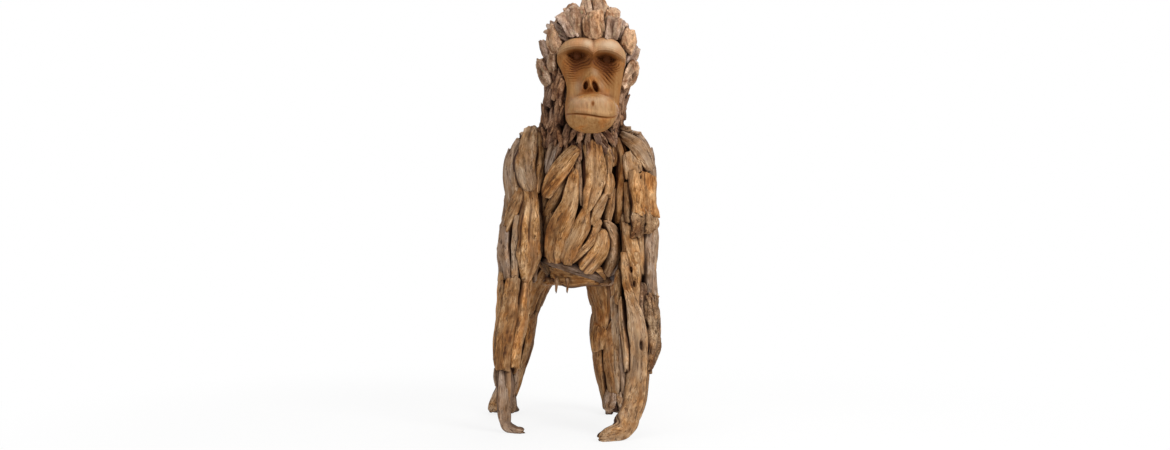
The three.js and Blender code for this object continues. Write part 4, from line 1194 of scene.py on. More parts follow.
@dataclass
class LeftArm(Arm):
    """The arm at the figure's left, with a big curved root for its hand."""

    def pieces(self) -> list[Cluster]:
        """Lays out the arm's roots."""
        over = Layout(self.arm)
        piece, root, strips = over.piece, over.root, over.strips
        split, worn, bark = Cut.SPLIT, Cut.WORN, Cut.BARK
        piece("shoulder_left_top", "roots", "grey_root")
        root(((-34, 98, 3), (6, 93, 8), (46, 84, 6)), (30, 46, 42), 17, split, 0.45, (0.06, 0.05), 131,
             detail=1.3)
        root(((-12, 91, 3), (-10, 86, 6), (-8, 81, 5)), (54, 60, 58), 17, worn, 0.2, (0.05, 0.05), 132,
             detail=1.3)
        root(((-62, 97, 0), (-56, 90, 1), (-52, 82, 0)), (26, 30, 26), 13, bark, 0.7, (0.08, 0.1), 133)
        root(((-44, 101, 2), (-20, 99, 3), (4, 99, 2)), (24, 30, 24), 13, bark, 0.6, (0.08, 0.1), 130)
        piece("shoulder_left_back", "roots", "grey_root")
        root(((26, 97, 0), (56, 90, 1), (76, 80, 1)), (24, 36, 32), 14, split, 0.7, (0.1, 0.1), 134)
        root(((80, 92, -2), (92, 84, -1), (96, 74, -2)), (26, 34, 28), 12, bark, 0.9, (0.12, 0.15), 135)
        root(((60, 84, -1), (66, 75, 1), (64, 64, 0)), (22, 28, 22), 13, split, 0.5, (0.08, 0.1), 136)
        piece("upper_arm_left_block", "root", "brown_root")
        root(((14, 82, 5), (15, 73, 9), (15, 65, 8)), (82, 90, 86), 23, worn, 0.0, (0.05, 0.05), 137,
             ((0.3, 0.1, 5, 4),), detail=1.6)
        root(((-34, 79, 1), (-36, 70, 2), (-34, 62, 1)), (24, 30, 26), 14, worn, 0.4, (0.08, 0.1), 139)
        over.extra("upper_arm_left_burl_roots", "brown_root", "net_root")
        root(((12, 70, 5), (16, 64, 11), (14, 58, 7)), (66, 88, 66), 22, bark, 0.2, (0.1, 0.12), 138,
             ((0.45, 0.4, 6, 9), (-0.35, 0.55, 5, 8), (0.1, 0.7, 5, 8)), detail=1.8)
        piece("elbow_left_inner", "root", "brown_root")
        root(((-32, 62, 3), (-22, 54, 6), (-4, 45, 6)), (30, 40, 36), 18, worn, 0.2, (0.08, 0.08), 140)
        root(((-60, 68, -2), (-54, 58, 0), (-46, 46, 0)), (26, 30, 24), 14, split, 0.5, (0.15, 0.15), 141)
        root(((10, 60, -2), (12, 52, 0), (14, 42, 0)), (24, 28, 24), 12, split, 0.6, (0.1, 0.1), 129)
        piece("elbow_left_outer", "root", "grey_root")
        root(((42, 62, 0), (43, 46, 3), (42, 29, 2)), (32, 40, 36), 16, worn, 0.9, (0.08, 0.08), 142)
        root(((74, 64, -3), (76, 50, -2), (76, 34, 1)), (30, 36, 30), 12, split, 0.7, (0.2, 0.15), 143)
        piece("forearm_left_knotted", "root", "brown_root")
        root(((-22, 50, 8), (-10, 39, 9), (3, 27, 8)), (56, 58, 30), 21, worn, 0.3, (0.05, 0.3), 144,
             ((-0.05, 0.3, 9, 16), (-0.35, 0.56, 8, 14)), detail=1.5)
        root(((-86, 43, 0), (-72, 36, 2), (-58, 29, 0)), (28, 34, 30), 15, worn, 0.4, (0.15, 0.2), 145)
        piece("forearm_left_twist", "roots", "grey_root")
        root(((-66, 33, 2), (-62, 14, 4), (-70, -4, 1)), (24, 32, 22), 17, split, 0.3, (0.15, 0.12), 146, (),
             1.2, 1.2)
        root(((-38, 32, 5), (-30, 16, 7), (-24, 4, 5)), (14, 21, 16), 16, split, 0.1, (0.1, 0.08), 147)
        root(((-50, 26, 0), (-46, 12, 2), (-42, -6, 0)), (16, 20, 14), 13, split, 0.75, (0.15, 0.2), 148)
        over.extra("forearm_left_outer_roots", "brown_root", "net_root")
        root(((36, 34, 2), (47, 20, 7), (57, 4, 6)), (42, 58, 48), 19, bark, 0.6, (0.08, 0.04), 149,
             ((-0.2, 0.1, 8, 16), (0.25, 0.55, 5, 9), (-0.3, 0.74, 4, 8)), 0.6, 1.5)
        root(((68, 30, 0), (78, 18, 4), (86, 5, 2)), (32, 40, 32), 15, bark, 0.8, (0.1, 0.06), 150,
             ((-0.3, 0.6, 5, 8),))
        root(((17, 38, -1), (22, 20, 3), (30, 2, 1)), (24, 34, 26), 15, split, 0.8, (0.2, 0.2), 151)
        piece("forearm_left_rear", "roots", "brown_root")
        strips(strew(33, (92, 268), (2, 47), 5, 1, 44, 14, split))
        piece("arm_left_rear", "roots", "grey_root")
        strips(strew(34, (66, 276), (42, 88), 6, 2, 50, 13, worn))
        strips(strew(36, (62, 262), (78, 92), 6, 1, 44, 11, worn, -7))
        over.free((128, -76, 600), *self.tops(128, 125))
        over.free((128, -84, 796), *self.brim(128, 193))
        self.hand(over)
        return over.pieces

    def hand(self, over: Layout) -> None:
        """The curved root that the arm stands on: wrist with a knot, heel and toe."""
        spine = ((112, -196, 424), (132, -212, 366), (146, -224, 300), (152, -234, 214), (146, -246, 140),
                 (128, -268, 78), (102, -302, 32), (70, -330, 20), (38, -346, 11))
        over.piece("hand_left", "root", "grey_root")
        over.free(
            (130, 600, 200),
            Root(spine, (16, 36, 54, 61, 62, 68, 64, 46, 24), 0, Cut.WORN, 0.15, (0.12, 0.1), 152,
                 ((-0.18, 0.325, 10, 13),), 0.0, 1.9, 0.8),
        )


@dataclass
class HindLeg:
    """One hind leg and its foot."""

    leg: Member
    side: str
    sense: int
    seed: int
    rear_angles: tuple[float, float]

    def pieces(self) -> list[Cluster]:
        """Lays out the leg's roots: measured ones in front, strips round the rest."""
        over = Layout(self.leg)
        if self.side == "right":
            self.right_front(over)
        else:
            self.left_front(over)
        self.rear(over)
        self.foot(over)
        return over.pieces

    def right_front(self, over: Layout) -> None:
        """Thigh and shin of the right leg."""
        piece, root = over.piece, over.root
        worn, split = Cut.WORN, Cut.SPLIT
        piece("thigh_right", "roots", "brown_root")
        root(((24, 82, 3), (23, 66, 5), (30, 50, 3)), (50, 44, 30), 18, split, 0.2, (0.08, 0.15), 161)
        root(((-14, 84, 0), (-16, 68, 2), (-12, 50, 1)), (44, 46, 34), 16, split, 0.5, (0.1, 0.2), 162)
        root(((58, 84, 0), (60, 68, 2), (64, 52, 1)), (44, 42, 30), 15, worn, 0.4, (0.1, 0.2), 163)
        root(((-48, 94, 0), (-50, 70, 2), (-50, 52, 0)), (42, 50, 34), 15, worn, 0.6, (0.1, 0.2), 164)
        root(((92, 86, 0), (94, 70, 2), (92, 54, 0)), (44, 46, 34), 15, split, 0.5, (0.1, 0.2), 165)
        root(((-78, 102, 0), (-80, 78, 2), (-82, 54, 0)), (52, 54, 34), 15, split, 0.7, (0.1, 0.2), 166)
        piece("shin_right", "roots", "brown_root")
        root(((29, 53, 2), (56, 28, 6), (58, -2, 2)), (32, 46, 22), 18, split, 0.3, (0.12, 0.2), 167)
        root(((-6, 54, 0), (2, 28, 2), (6, 0, 0)), (34, 36, 26), 15, split, 0.5, (0.15, 0.15), 168)
        root(((-44, 54, 0), (-44, 30, 2), (-44, 2, 0)), (34, 36, 26), 15, split, 0.7, (0.15, 0.15), 169)
        root(((84, 56, 0), (92, 30, 1), (96, 4, 0)), (34, 36, 26), 15, worn, 0.5, (0.15, 0.15), 170)
        root(((-82, 56, 0), (-84, 30, 1), (-84, 4, 0)), (34, 36, 26), 15, split, 0.6, (0.15, 0.15), 171)

    def left_front(self, over: Layout) -> None:
        """Thigh and shin of the left leg."""
        piece, root = over.piece, over.root
        worn, split = Cut.WORN, Cut.SPLIT
        piece("thigh_left", "roots", "brown_root")
        root(((-28, 84, 4), (-24, 66, 6), (-24, 42, 3)), (72, 66, 38), 19, split, 0.1, (0.05, 0.15), 172,
             detail=1.2)
        root(((-66, 84, 2), (-62, 68, 4), (-62, 54, 1)), (40, 38, 26), 16, split, 0.3, (0.08, 0.2), 173)
        root(((12, 84, 0), (14, 66, 2), (14, 48, 0)), (46, 44, 34), 15, split, 0.5, (0.1, 0.2), 174)
        root(((46, 94, 0), (48, 70, 2), (50, 52, 0)), (46, 48, 34), 15, worn, 0.6, (0.1, 0.2), 175)
        root(((78, 102, 0), (80, 78, 2), (82, 54, 0)), (54, 54, 34), 15, split, 0.5, (0.1, 0.2), 176)
        root(((-96, 86, 0), (-94, 70, 1), (-92, 54, 0)), (46, 46, 34), 15, split, 0.5, (0.1, 0.2), 177)
        piece("shin_left", "roots", "brown_root")
        root(((-34, 44, 7), (-38, 36, 9), (-44, 28, 5)), (42, 50, 38), 20, worn, 0.1, (0.25, 0.25), 178)
        root(((-46, 34, 2), (-60, 16, 5), (-76, -10, 2)), (40, 42, 30), 16, split, 0.4, (0.2, 0.1), 179)
        root(((-4, 46, 0), (-2, 26, 2), (-4, -2, 0)), (36, 38, 28), 15, split, 0.4, (0.15, 0.15), 180)
        root(((38, 50, 0), (40, 28, 2), (40, 0, 0)), (36, 38, 28), 15, split, 0.6, (0.15, 0.15), 181)
        root(((80, 52, 0), (82, 30, 1), (80, 2, 0)), (36, 38, 28), 15, worn, 0.5, (0.15, 0.15), 182)
        root(((-86, 50, 2), (-92, 28, 3), (-98, 2, 1)), (38, 38, 28), 15, split, 0.9, (0.15, 0.15), 183)
        root(((-78, 66, 0), (-84, 54, 1), (-84, 40, 0)), (32, 40, 32), 15, split, 0.3, (0.1, 0.1), 184)

    def rear(self, over: Layout) -> None:
        """Strips down the back of the leg."""
        over.piece(f"leg_{self.side}_rear", "roots", "brown_root")
        over.strips(strew(self.seed, self.rear_angles, (2, 52), 5, 1, 40, 15))
        over.strips(strew(self.seed + 1, self.rear_angles, (48, 102), 6, 2, 52, 16))

    def foot(self, over: Layout) -> None:
        """A blunt foot of root ends: heel, toes and ankle."""
        x, y = self.leg.sections[0][1:3]
        s, seed = self.sense, self.seed
        over.piece(f"foot_{self.side}", "root", "grey_root")
        over.free(
            (x, y + 40, 90),
            Root(((x + 4 * s, y + 6, 128), (x, y - 6, 74), (x - 4 * s, y - 14, 26), (x - 4 * s, y - 18, 2)),
                 (48, 62, 82, 86), 0, Cut.WORN, 0.7, (0.1, 0.22), seed + 2, detail=1.2, thick=0.95),
            Root(((x - 6 * s, y - 6, 96), (x - 26 * s, y - 38, 40), (x - 38 * s, y - 62, 12)), (30, 42, 30),
                 0, Cut.WORN, 0.6, (0.15, 0.2), seed + 3, thick=0.8),
            Root(((x + 6 * s, y - 8, 92), (x + 12 * s, y - 50, 36), (x + 14 * s, y - 76, 12)), (30, 44, 34),
                 0, Cut.WORN, 0.8, (0.15, 0.2), seed + 4, thick=0.8),
        )


@dataclass
class Back:
    """Flanks, back, rump and the boards under the belly."""

    trunk: Member

    def pieces(self) -> list[Cluster]:
        """Lays out the long strips of the parts that the front does not show."""
        over = Layout(self.trunk)
        piece, strips = over.piece, over.strips
        split, worn = Cut.SPLIT, Cut.WORN
        piece("flank_right", "roots", "grey_root")
        strips(strew(41, (-134, -54), (0, 99), 7, 3, 54, 16, worn))
        piece("flank_left", "roots", "grey_root")
        strips(strew(42, (54, 134), (0, 99), 7, 3, 54, 16, split))
        piece("back_upper", "roots", "grey_root")
        strips(strew(43, (120, 240), (62, 101), 7, 2, 56, 17, split))
        piece("back_lower", "roots", "brown_root")
        strips(strew(44, (124, 236), (30, 66), 7, 2, 56, 17, worn))
        piece("rump", "roots", "brown_root")
        strips(strew(45, (124, 236), (-3, 35), 7, 2, 54, 17, split))
        self.belly_board(over)
        return over.pieces

    def belly_board(self, over: Layout) -> None:
        """Boards nailed across under the belly, and two splinters hanging from them."""
        below = BELLY_HEIGHT / MM
        boards = [
            Root(((x - 12, -118, below - 4), (x, 60, below - 8), (x + 8, 236, below - 4)), (40, 48, 38), 12,
                 Cut.SPLIT, 0.3 + 0.1 * step, (0.05, 0.05), 190 + step)
            for step, x in enumerate((-92, -52, -10, 30, 70))
        ]
        edge = Root(
            ((-98, -104, below + 20), (-50, -122, below + 14), (20, -124, below + 12),
             (72, -100, below + 10)),
            (50, 66, 60, 50), 7, Cut.WORN, 0.1, (0.04, 0.04), 189,
        )
        splinters = [
            Root(((x, -134, below + 6), (x + 1, -136, below - 12), (x - 1, -138, below - 34)), (14, 10, 6), 0,
                 Cut.SPLIT, 0.8, (0.1, 0.5), 196 + step, thick=0.9)
            for step, x in enumerate((-82, -50))
        ]
        over.piece("belly_board", "roots", "brown_root")
        over.free((-12, 60, 2000), *boards)
        over.free((-12, 300, 450), edge)
        over.free((-70, 60, 420), *splinters)


@dataclass
class Head:
    """Hair of split bark round the face: crown, ears, cheeks, beard and nape."""

    head: Member
    core: tuple[float, float, float] = (14, -150, 1010)

    def shard(self, over: Layout, seed: int, widths: tuple, tone: float, *line: tuple, crown: float,
              cut: Cut = Cut.CHIP, detail: float = 1.2) -> None:
        """Lays one shard of the crown, given from the hairline to its tip."""
        over.free(self.core, Root(line, widths, crown, cut, tone, (0.05, 0.06), seed, detail=detail))

    def pieces(self) -> list[Cluster]:
        """Lays out the hair."""
        over, core = Layout(self.head), self.core
        piece, root, strips = over.piece, over.root, over.strips
        shard = partial(self.shard, over)
        split, worn, bark, chip = Cut.SPLIT, Cut.WORN, Cut.BARK, Cut.CHIP
        piece("crown_centre", "shards", "bark_root")
        shard(201, (50, 58, 50), 0.05, (27, -264, 1093), (26, -270, 1128), (27, -254, 1161), crown=22,
              detail=1.6)
        shard(202, (32, 44, 38), 0.45, (-10, -262, 1095), (-15, -260, 1136), (-22, -236, 1178), crown=17)
        shard(203, (54, 58, 38), 0.35, (38, -226, 1146), (34, -214, 1182), (28, -180, 1214), crown=15,
              detail=1.5)
        shard(204, (30, 34, 20), 0.55, (6, -240, 1158), (3, -222, 1186), (0, -186, 1212), crown=16)
        shard(205, (44, 52, 44), 0.5, (22, -200, 1194), (20, -160, 1205), (15, -88, 1190), crown=15)
        piece("crown_right", "shards", "bark_root")
        shard(211, (32, 52, 68), 0.75, (-28, -264, 1096), (-44, -256, 1136), (-56, -226, 1170), crown=18,
              detail=1.5)
        shard(212, (34, 42, 32), 1.0, (-26, -256, 1086), (-62, -246, 1112), (-98, -206, 1138), crown=20)
        shard(213, (44, 52, 44), 0.15, (-22, -216, 1154), (-32, -200, 1176), (-40, -166, 1190), crown=14)
        shard(214, (32, 48, 34), 0.1, (-74, -246, 1058), (-83, -238, 1098), (-87, -216, 1131), crown=18,
              cut=worn)
        shard(215, (26, 34, 24), 0.8, (-98, -205, 1036), (-107, -198, 1070), (-114, -186, 1098), crown=14)
        shard(216, (30, 38, 32), 0.5, (-86, -224, 1008), (-88, -226, 1038), (-84, -230, 1066), crown=14)
        shard(217, (44, 52, 42), 0.6, (-58, -206, 1138), (-70, -178, 1148), (-78, -128, 1144), crown=14)
        shard(218, (44, 52, 44), 0.35, (-24, -198, 1172), (-32, -165, 1180), (-38, -98, 1164), crown=14)
        shard(219, (32, 38, 30), 0.7, (-74, -220, 1110), (-88, -198, 1122), (-100, -160, 1130), crown=14)
        piece("crown_left", "shards", "bark_root")
        shard(221, (46, 54, 46), 0.65, (68, -262, 1092), (71, -264, 1124), (74, -246, 1150), crown=20,
              detail=1.5)
        shard(222, (24, 30, 22), 0.95, (92, -244, 1094), (96, -238, 1124), (98, -218, 1150), crown=12)
        shard(223, (44, 52, 44), 0.15, (70, -234, 1138), (74, -216, 1166), (72, -180, 1186), crown=15)
        shard(224, (36, 46, 34), 0.0, (106, -242, 1066), (114, -236, 1094), (120, -212, 1120), crown=20)
        shard(225, (38, 44, 32), 0.7, (88, -218, 1136), (99, -196, 1146), (108, -160, 1144), crown=15)
        shard(226, (44, 52, 42), 0.4, (54, -200, 1174), (57, -165, 1184), (54, -96, 1168), crown=14)
        shard(227, (28, 34, 26), 0.6, (122, -206, 1086), (127, -192, 1104), (130, -176, 1118), crown=12)
        shard(228, (44, 54, 42), 0.85, (114, -224, 1030), (125, -216, 1056), (134, -200, 1080), crown=18)
        shard(229, (32, 38, 32), 0.8, (98, -236, 1012), (103, -238, 1038), (105, -234, 1064), crown=14)
        piece("crown_back", "shards", "bark_root")
        strips(strew(51, (68, 292), (46, 92), 8, 3, 62, 18, chip, 3, 10))
        strips(strew(52, (40, 320), (84, 104), 8, 1, 54, 16, chip, 2, 4))
        root(((245, 86, 5), (247, 75, 7), (248, 64, 5)), (38, 46, 38), 13, chip, 0.6, (0.1, 0.1), 233)
        piece("ear_right", "shard", "bark_root")
        over.free(core, Root(((-98, -214, 976), (-113, -202, 1010), (-124, -190, 1044)), (34, 54, 34), 13,
                             chip, 0.5, (0.2, 0.1), 231, ((0.1, 0.5, 11, 10),), detail=1.6))
        piece("ear_left", "shard", "bark_root")
        over.free(core, Root(((106, -230, 962), (124, -220, 998), (134, -206, 1034)), (36, 60, 40), 14, chip,
                             0.2, (0.2, 0.1), 232, ((0.0, 0.5, 11, 7),), detail=1.6))
        piece("cheek_right", "strips", "bark_root", "mane_root")
        root(((-42, 50, 4), (-48, 40, 6), (-50, 30, 4)), (20, 26, 20), 14, worn, 0.3, (0.12, 0.15), 241)
        root(((-58, 46, 5), (-62, 34, 8), (-62, 24, 6)), (22, 28, 22), 15, bark, 0.9, (0.12, 0.15), 242)
        root(((-40, 30, 6), (-38, 20, 8), (-36, 10, 8)), (20, 26, 20), 14, bark, 0.5, (0.12, 0.15), 243)
        root(((-35, 46, 9), (-37, 36, 12), (-36, 26, 10)), (18, 24, 20), 14, worn, 0.2, (0.12, 0.15), 244)
        strips(strew(53, (-134, -34), (-8, 54), 8, 4, 25, 14, bark, 5, 5, 1.1))
        piece("cheek_left", "strips", "bark_root", "mane_root")
        root(((52, 48, 5), (58, 38, 6), (58, 28, 4)), (20, 26, 20), 14, bark, 0.6, (0.12, 0.15), 251)
        root(((54, 28, 5), (50, 18, 8), (42, 8, 8)), (20, 26, 20), 14, split, 0.4, (0.12, 0.15), 252)
        strips(strew(54, (40, 138), (16, 54), 8, 2, 25, 14, bark, 3, 4, 1.1))
        strips(strew(57, (44, 138), (-8, 20), 6, 2, 26, 13, bark, -7, 4, 1.1))
        piece("beard", "strips", "bark_root", "mane_root")
        strips(strew(56, (-40, 44), (-19, 7), 8, 2, 22, 13, bark, 5, -3, 0.9))
        piece("nape", "strips", "bark_root", "mane_root")
        strips(strew(55, (124, 236), (-10, 58), 6, 2, 46, 15, bark, 2, 6))
        return over.pieces


def hill(offset: np.ndarray, reach: float) -> np.ndarray:
    """A smooth hill of height 1, reach wide at each side."""
    return np.exp(-((offset / reach) ** 2))


def step_up(value: np.ndarray, low: float, high: float) -> np.ndarray:
    """0 below low, 1 above high, smooth between."""
    t = np.clip((value - low) / (high - low), 0, 1)
    return t * t * (3 - 2 * t)


def patches(spots: tuple, x: np.ndarray, height: np.ndarray) -> np.ndarray:
    """The sum of smooth spots, each of a strength, a place and reach across, and a place and reach up."""
    return sum(
        strength * hill(x - across, wide) * hill(height - up, tall)
        for strength, across, wide, up, tall in spots
    )


@dataclass
class Face:
    """The carved face: brow, sockets, nose, muzzle, lips and chin in one block.

    Sizes are in millimetres. Heights count up from the chin and x from the face's middle line.
    """

    head: Member
    height: float = 262
    half_width: float = 94
    middle: float = 18.5
    muzzle_half_width: float = 74
    muzzle_depth: float = 74
    muzzle_top: float = 104
    muzzle_middle: float = 57
    brow_depth: float = 30
    seat: float = 84
    columns: int = 220
    rows: int = 300
    # Across, up, half width, half height and slope of each eye.
    eyes: tuple = ((-40, 217.5, 27, 13.5, -0.02), (42, 207.5, 26, 12, -0.13))
    # How far forward of the seat the jaw's rear lower edge lies, and up to which height it is cut back.
    jaw_cut: float = 52.0
    jaw_height: float = 84
    seat_level: float = 45.0  # level of the head whose middle the seat is measured from
    # Across, up, half width, half height and lean of each nostril.
    nostrils: tuple = ((-16, 131, 7.0, 11.5, 0.10), (9, 128, 8.0, 15.0, -0.32))
    mouth: tuple = ((-76, 52), (-40, 48.5), (0, 43.5), (20, 40), (40, 38.5), (56, 41), (72, 50))
    # Share of the height, half width as a share, and sideways shift of the outline.
    outline: tuple = (
        (0, 0.18, -2), (0.02, 0.36, -2), (0.06, 0.55, -3), (0.13, 0.70, -3), (0.2, 0.775, 0), (0.3, 0.795, 1),
        (0.4, 0.785, 4), (0.5, 0.80, 6), (0.58, 0.845, 5), (0.67, 0.92, 2), (0.76, 1.0, -1),
        (0.85, 0.985, -1), (0.92, 0.87, -2), (0.97, 0.74, -1), (1, 0.60, 0),
    )

    # Smooth spots of colour: strength, place and reach across, place and reach up.
    dark_patches: tuple = ((0.62, 3, 20, 198, 20), (0.5, 3, 3.2, 76, 6))
    # The pale spots are painted highlights on the brow, where they are partly grey weathering, and on the
    # nose and lip.
    pale_brow: tuple = ((0.75, -8, 14, 247, 13), (0.75, 54, 28, 243, 15))
    pale_patches: tuple = ((0.45, 12, 12, 172, 16), (0.42, -36, 11, 130, 17), (0.32, 27, 8, 134, 16),
                           (0.45, -48, 15, 90, 14), (0.40, 36, 17, 96, 13))

    def eye(self, x: np.ndarray, height: np.ndarray) -> dict[str, np.ndarray]:
        """Shares of each part of the eyes: basin, almond hollow, ball, lid and the folds beneath."""
        parts = {name: np.zeros_like(x) for name in ("basin", "almond", "ball", "lid", "folds")}
        for index, (across, up, wide, tall, slope) in enumerate(self.eyes):
            side = x - across
            rise = height - up - slope * side
            opening = tall * np.clip(1 - (side / wide) ** 2, -1, 1) - np.abs(rise)
            almond = step_up(opening, -3.5, 6.5)
            reach = np.where(rise > 0, 19, 62)
            ring = np.hypot(side / 42, rise / reach)
            basin = 1 - step_up(ring, 0.30, 1.0)
            ball = np.sqrt(np.clip(1 - (side / 13) ** 2 - ((rise + 1) / 10) ** 2, 0, 1))
            lid = hill(opening + 3.5, 2.2) * step_up(-rise, -4, 4)
            around = np.hypot(side / 1.35, rise) + 1.2 * np.sin(side * 0.16 + index)
            around = around + 3.4 * noise(x * 0.045, height * 0.06, 21)
            wave = 0.5 + 0.5 * np.cos(2 * math.pi * (around - 20) / 7.0)
            under = step_up(-rise, 6, 15) * (1 - step_up(around, 36, 52))
            under = under * (1 - step_up(np.abs(side), 30, 44))
            folds = wave**2.5 * under
            for name, share in zip(parts, (basin, almond, ball, lid, folds)):
                parts[name] = np.maximum(parts[name], share)
        return parts

    def nose(self, x: np.ndarray, height: np.ndarray) -> tuple[np.ndarray, np.ndarray]:
        """How far the nose stands forward, and how deep its nostrils are from 0 to 1."""
        swell = np.clip((205 - height) / 70, 0, 1)
        across = x - 3 + 6 * hill(height - 140, 22)
        stands = (5 + 13 * swell**1.5) * hill(across, 9 + 18 * swell) * (1 - step_up(height, 196, 218))
        stands = stands * step_up(height, 112, 132)
        depth = np.zeros_like(x)
        for middle, up, wide, tall, lean in self.nostrils:
            rise = height - up
            ring = np.hypot((x - middle - lean * rise) / wide, rise / tall)
            depth = np.maximum(depth, 1 - step_up(ring, 0.62, 1.12))
            stands = stands + 4.5 * hill(ring - 1.55, 0.42) * step_up(height, 112, 124)
        return stands, depth

    def creases(self, x: np.ndarray, height: np.ndarray) -> np.ndarray:
        """Depth from 0 to 1 of the lines over the cheeks: slanting on one side and level on the other."""
        across = (x + height) * 0.707 + 1.5 * np.sin((x - height) * 0.06)
        slanting = (0.5 + 0.5 * np.cos(2 * math.pi * across / 8.5)) ** 3
        slanting = slanting * hill(x - 44, 17) * hill(height - 158, 24)
        level = (0.5 + 0.5 * np.cos(2 * math.pi * (height + 2 * np.sin(x * 0.09)) / 6.6)) ** 3
        level = level * hill(x + 57, 15) * hill(height - 166, 24)
        return np.maximum(slanting, 0.8 * level)

    def relief(self, x: np.ndarray, height: np.ndarray) -> tuple[np.ndarray, np.ndarray, np.ndarray]:
        """How far the carving stands forward.

        Args:
            x: From the middle line.
            height: From the chin.

        Returns:
            Distance forward, how dark the wood is, from stains and from painted shade in its hollows, and how
            pale it is, from grey weathering and from painted highlights.
        """
        side = np.abs(x)
        eye = self.eye(x, height)
        stands, nostril = self.nose(x, height)
        creases = self.creases(x, height)
        plate = 32 + 15 * (1 - (side / (self.half_width + 6)) ** 2)
        edge = np.where(x < 2, 229 - 0.0050 * (x + 42) ** 2, 218.5 - 0.0062 * (x - 34) ** 2)
        edge = edge - 7 * hill(x - 2, 9)
        ridge = step_up(height, edge - 7, edge + 9) * (1 - 0.62 * step_up(height, edge + 12, 272))
        brow = self.brow_depth * ridge * (1 - 0.45 * (side / self.half_width) ** 4)
        brow = brow - 3.5 * hill(x - 3, 4) * step_up(height, 222, 250)

        across = np.clip(np.abs(x - 1) / self.muzzle_half_width, 0, 1)
        top = self.muzzle_top - 16 * across**2.2
        over = height > self.muzzle_middle
        reach = np.where(over, top + 5 - self.muzzle_middle, 61)
        rise = np.clip(np.abs(height - self.muzzle_middle) / reach, 0, 1)
        muzzle = np.clip(1 - across**3.0 - rise**3.0, 0, 1) ** np.where(over, 0.62, 0.5)

        line = np.array(self.mouth, float)
        above = height - smooth_through(line[:, 0], line[:, 1], np.clip(x, line[0, 0], line[-1, 0]))
        in_mouth = step_up(72 - np.abs(x + 2), 0, 8)
        slit = 5 * hill(above, 1.7) * in_mouth
        lips = (3.8 * hill(above - 8, 6) + 4.6 * hill(above + 8, 7)) * in_mouth
        pleats = noise(x * 0.13, height * 0.012, 8) * hill(height - 76, 22) * (1 - step_up(across, 0.5, 0.9))
        chin = -13 * step_up(-height, -34, -2) * (1 - muzzle * 0.3)
        fold = 1.6 * hill(height - top - 4, 6) * step_up(np.abs(x + 2), 22, 40)
        fold = fold * (1 - step_up(across, 0.84, 1.0))
        cheek = 8 * hill(side - 66, 20) * hill(height - 168, 30)
        hollow = 7 * hill(side - 42, 18) * hill(height - 134, 18)

        out = plate + brow + self.muzzle_depth * muzzle + stands * (1 - 0.6 * muzzle)
        out = out + cheek - hollow + chin + lips
        out = out - 17 * eye["basin"] * (1 - 0.5 * ridge) - 10 * eye["almond"]
        out = out + 7 * eye["ball"] * eye["almond"]
        out = out + 2.4 * eye["lid"] - 2.6 * eye["folds"] - 16 * nostril - slit - fold
        out = out - 3.4 * creases - 1.3 * pleats
        out = out + 0.9 * noise(x * 0.07, height * 0.04, 3) + 0.4 * noise(x * 0.3, height * 0.06, 4)
        out = out + 0.8 * noise(x * 0.16, height * 0.14, 12)

        # Painted shade in the hollows and under things: sockets, lids, folds, nostrils, mouth line, creases,
        # pleats, the fold over the muzzle and the strip under the brow. The wood is also darker towards the
        # sides of the face and of the muzzle. Stains go with it: lines on the brow, streaks on the lip,
        # russet under the eyes and the dark patches.
        dark = 0.42 * eye["basin"] + 0.26 * eye["almond"] + 0.30 * eye["folds"] + 0.22 * eye["lid"]
        dark = dark + 0.95 * nostril + 0.50 * hill(above + 1, 2.4) * in_mouth + 0.62 * creases
        dark = dark + 0.10 * fold + 0.18 * step_up(side, 60, 92) * (1 - ridge)
        dark = dark + 0.25 * step_up(across, 0.76, 1.0) * hill(height - 60, 60) + 0.16 * np.clip(pleats, 0, 1)
        dark = dark + 0.14 * step_up(edge + 6 - height, 0, 10) * hill(height - 226, 14)
        lines = (0.5 + 0.5 * np.cos(2 * math.pi * (height - edge) / 5.5)) ** 3 * hill(height - edge - 9, 10)
        streaks = hill(x - 4, 18) * hill(height - 72, 12)
        streaks = streaks * np.clip(1 + noise(x * 0.3, height * 0.05, 5), 0, 2)
        dark = dark + 0.22 * lines + 0.20 * streaks + 0.46 * hill(side - 42, 30) * hill(height - 172, 36)
        dark = dark + patches(self.dark_patches, x, height)
        # Painted highlights, partly grey weathering: paler on the brow ridge, the front of the muzzle and the
        # spots on the nose and lip; less pale low on the chin.
        pale = ridge * (0.27 + patches(self.pale_brow, x, height))
        pale = pale + 0.40 * step_up(muzzle, 0.6, 0.97) * (0.5 + 0.5 * hill(height - 92, 20))
        pale = pale + patches(self.pale_patches, x, height) - 0.2 * hill(height - 25, 22)
        return out, np.clip(dark, 0, 1), np.clip(pale, 0, 1)

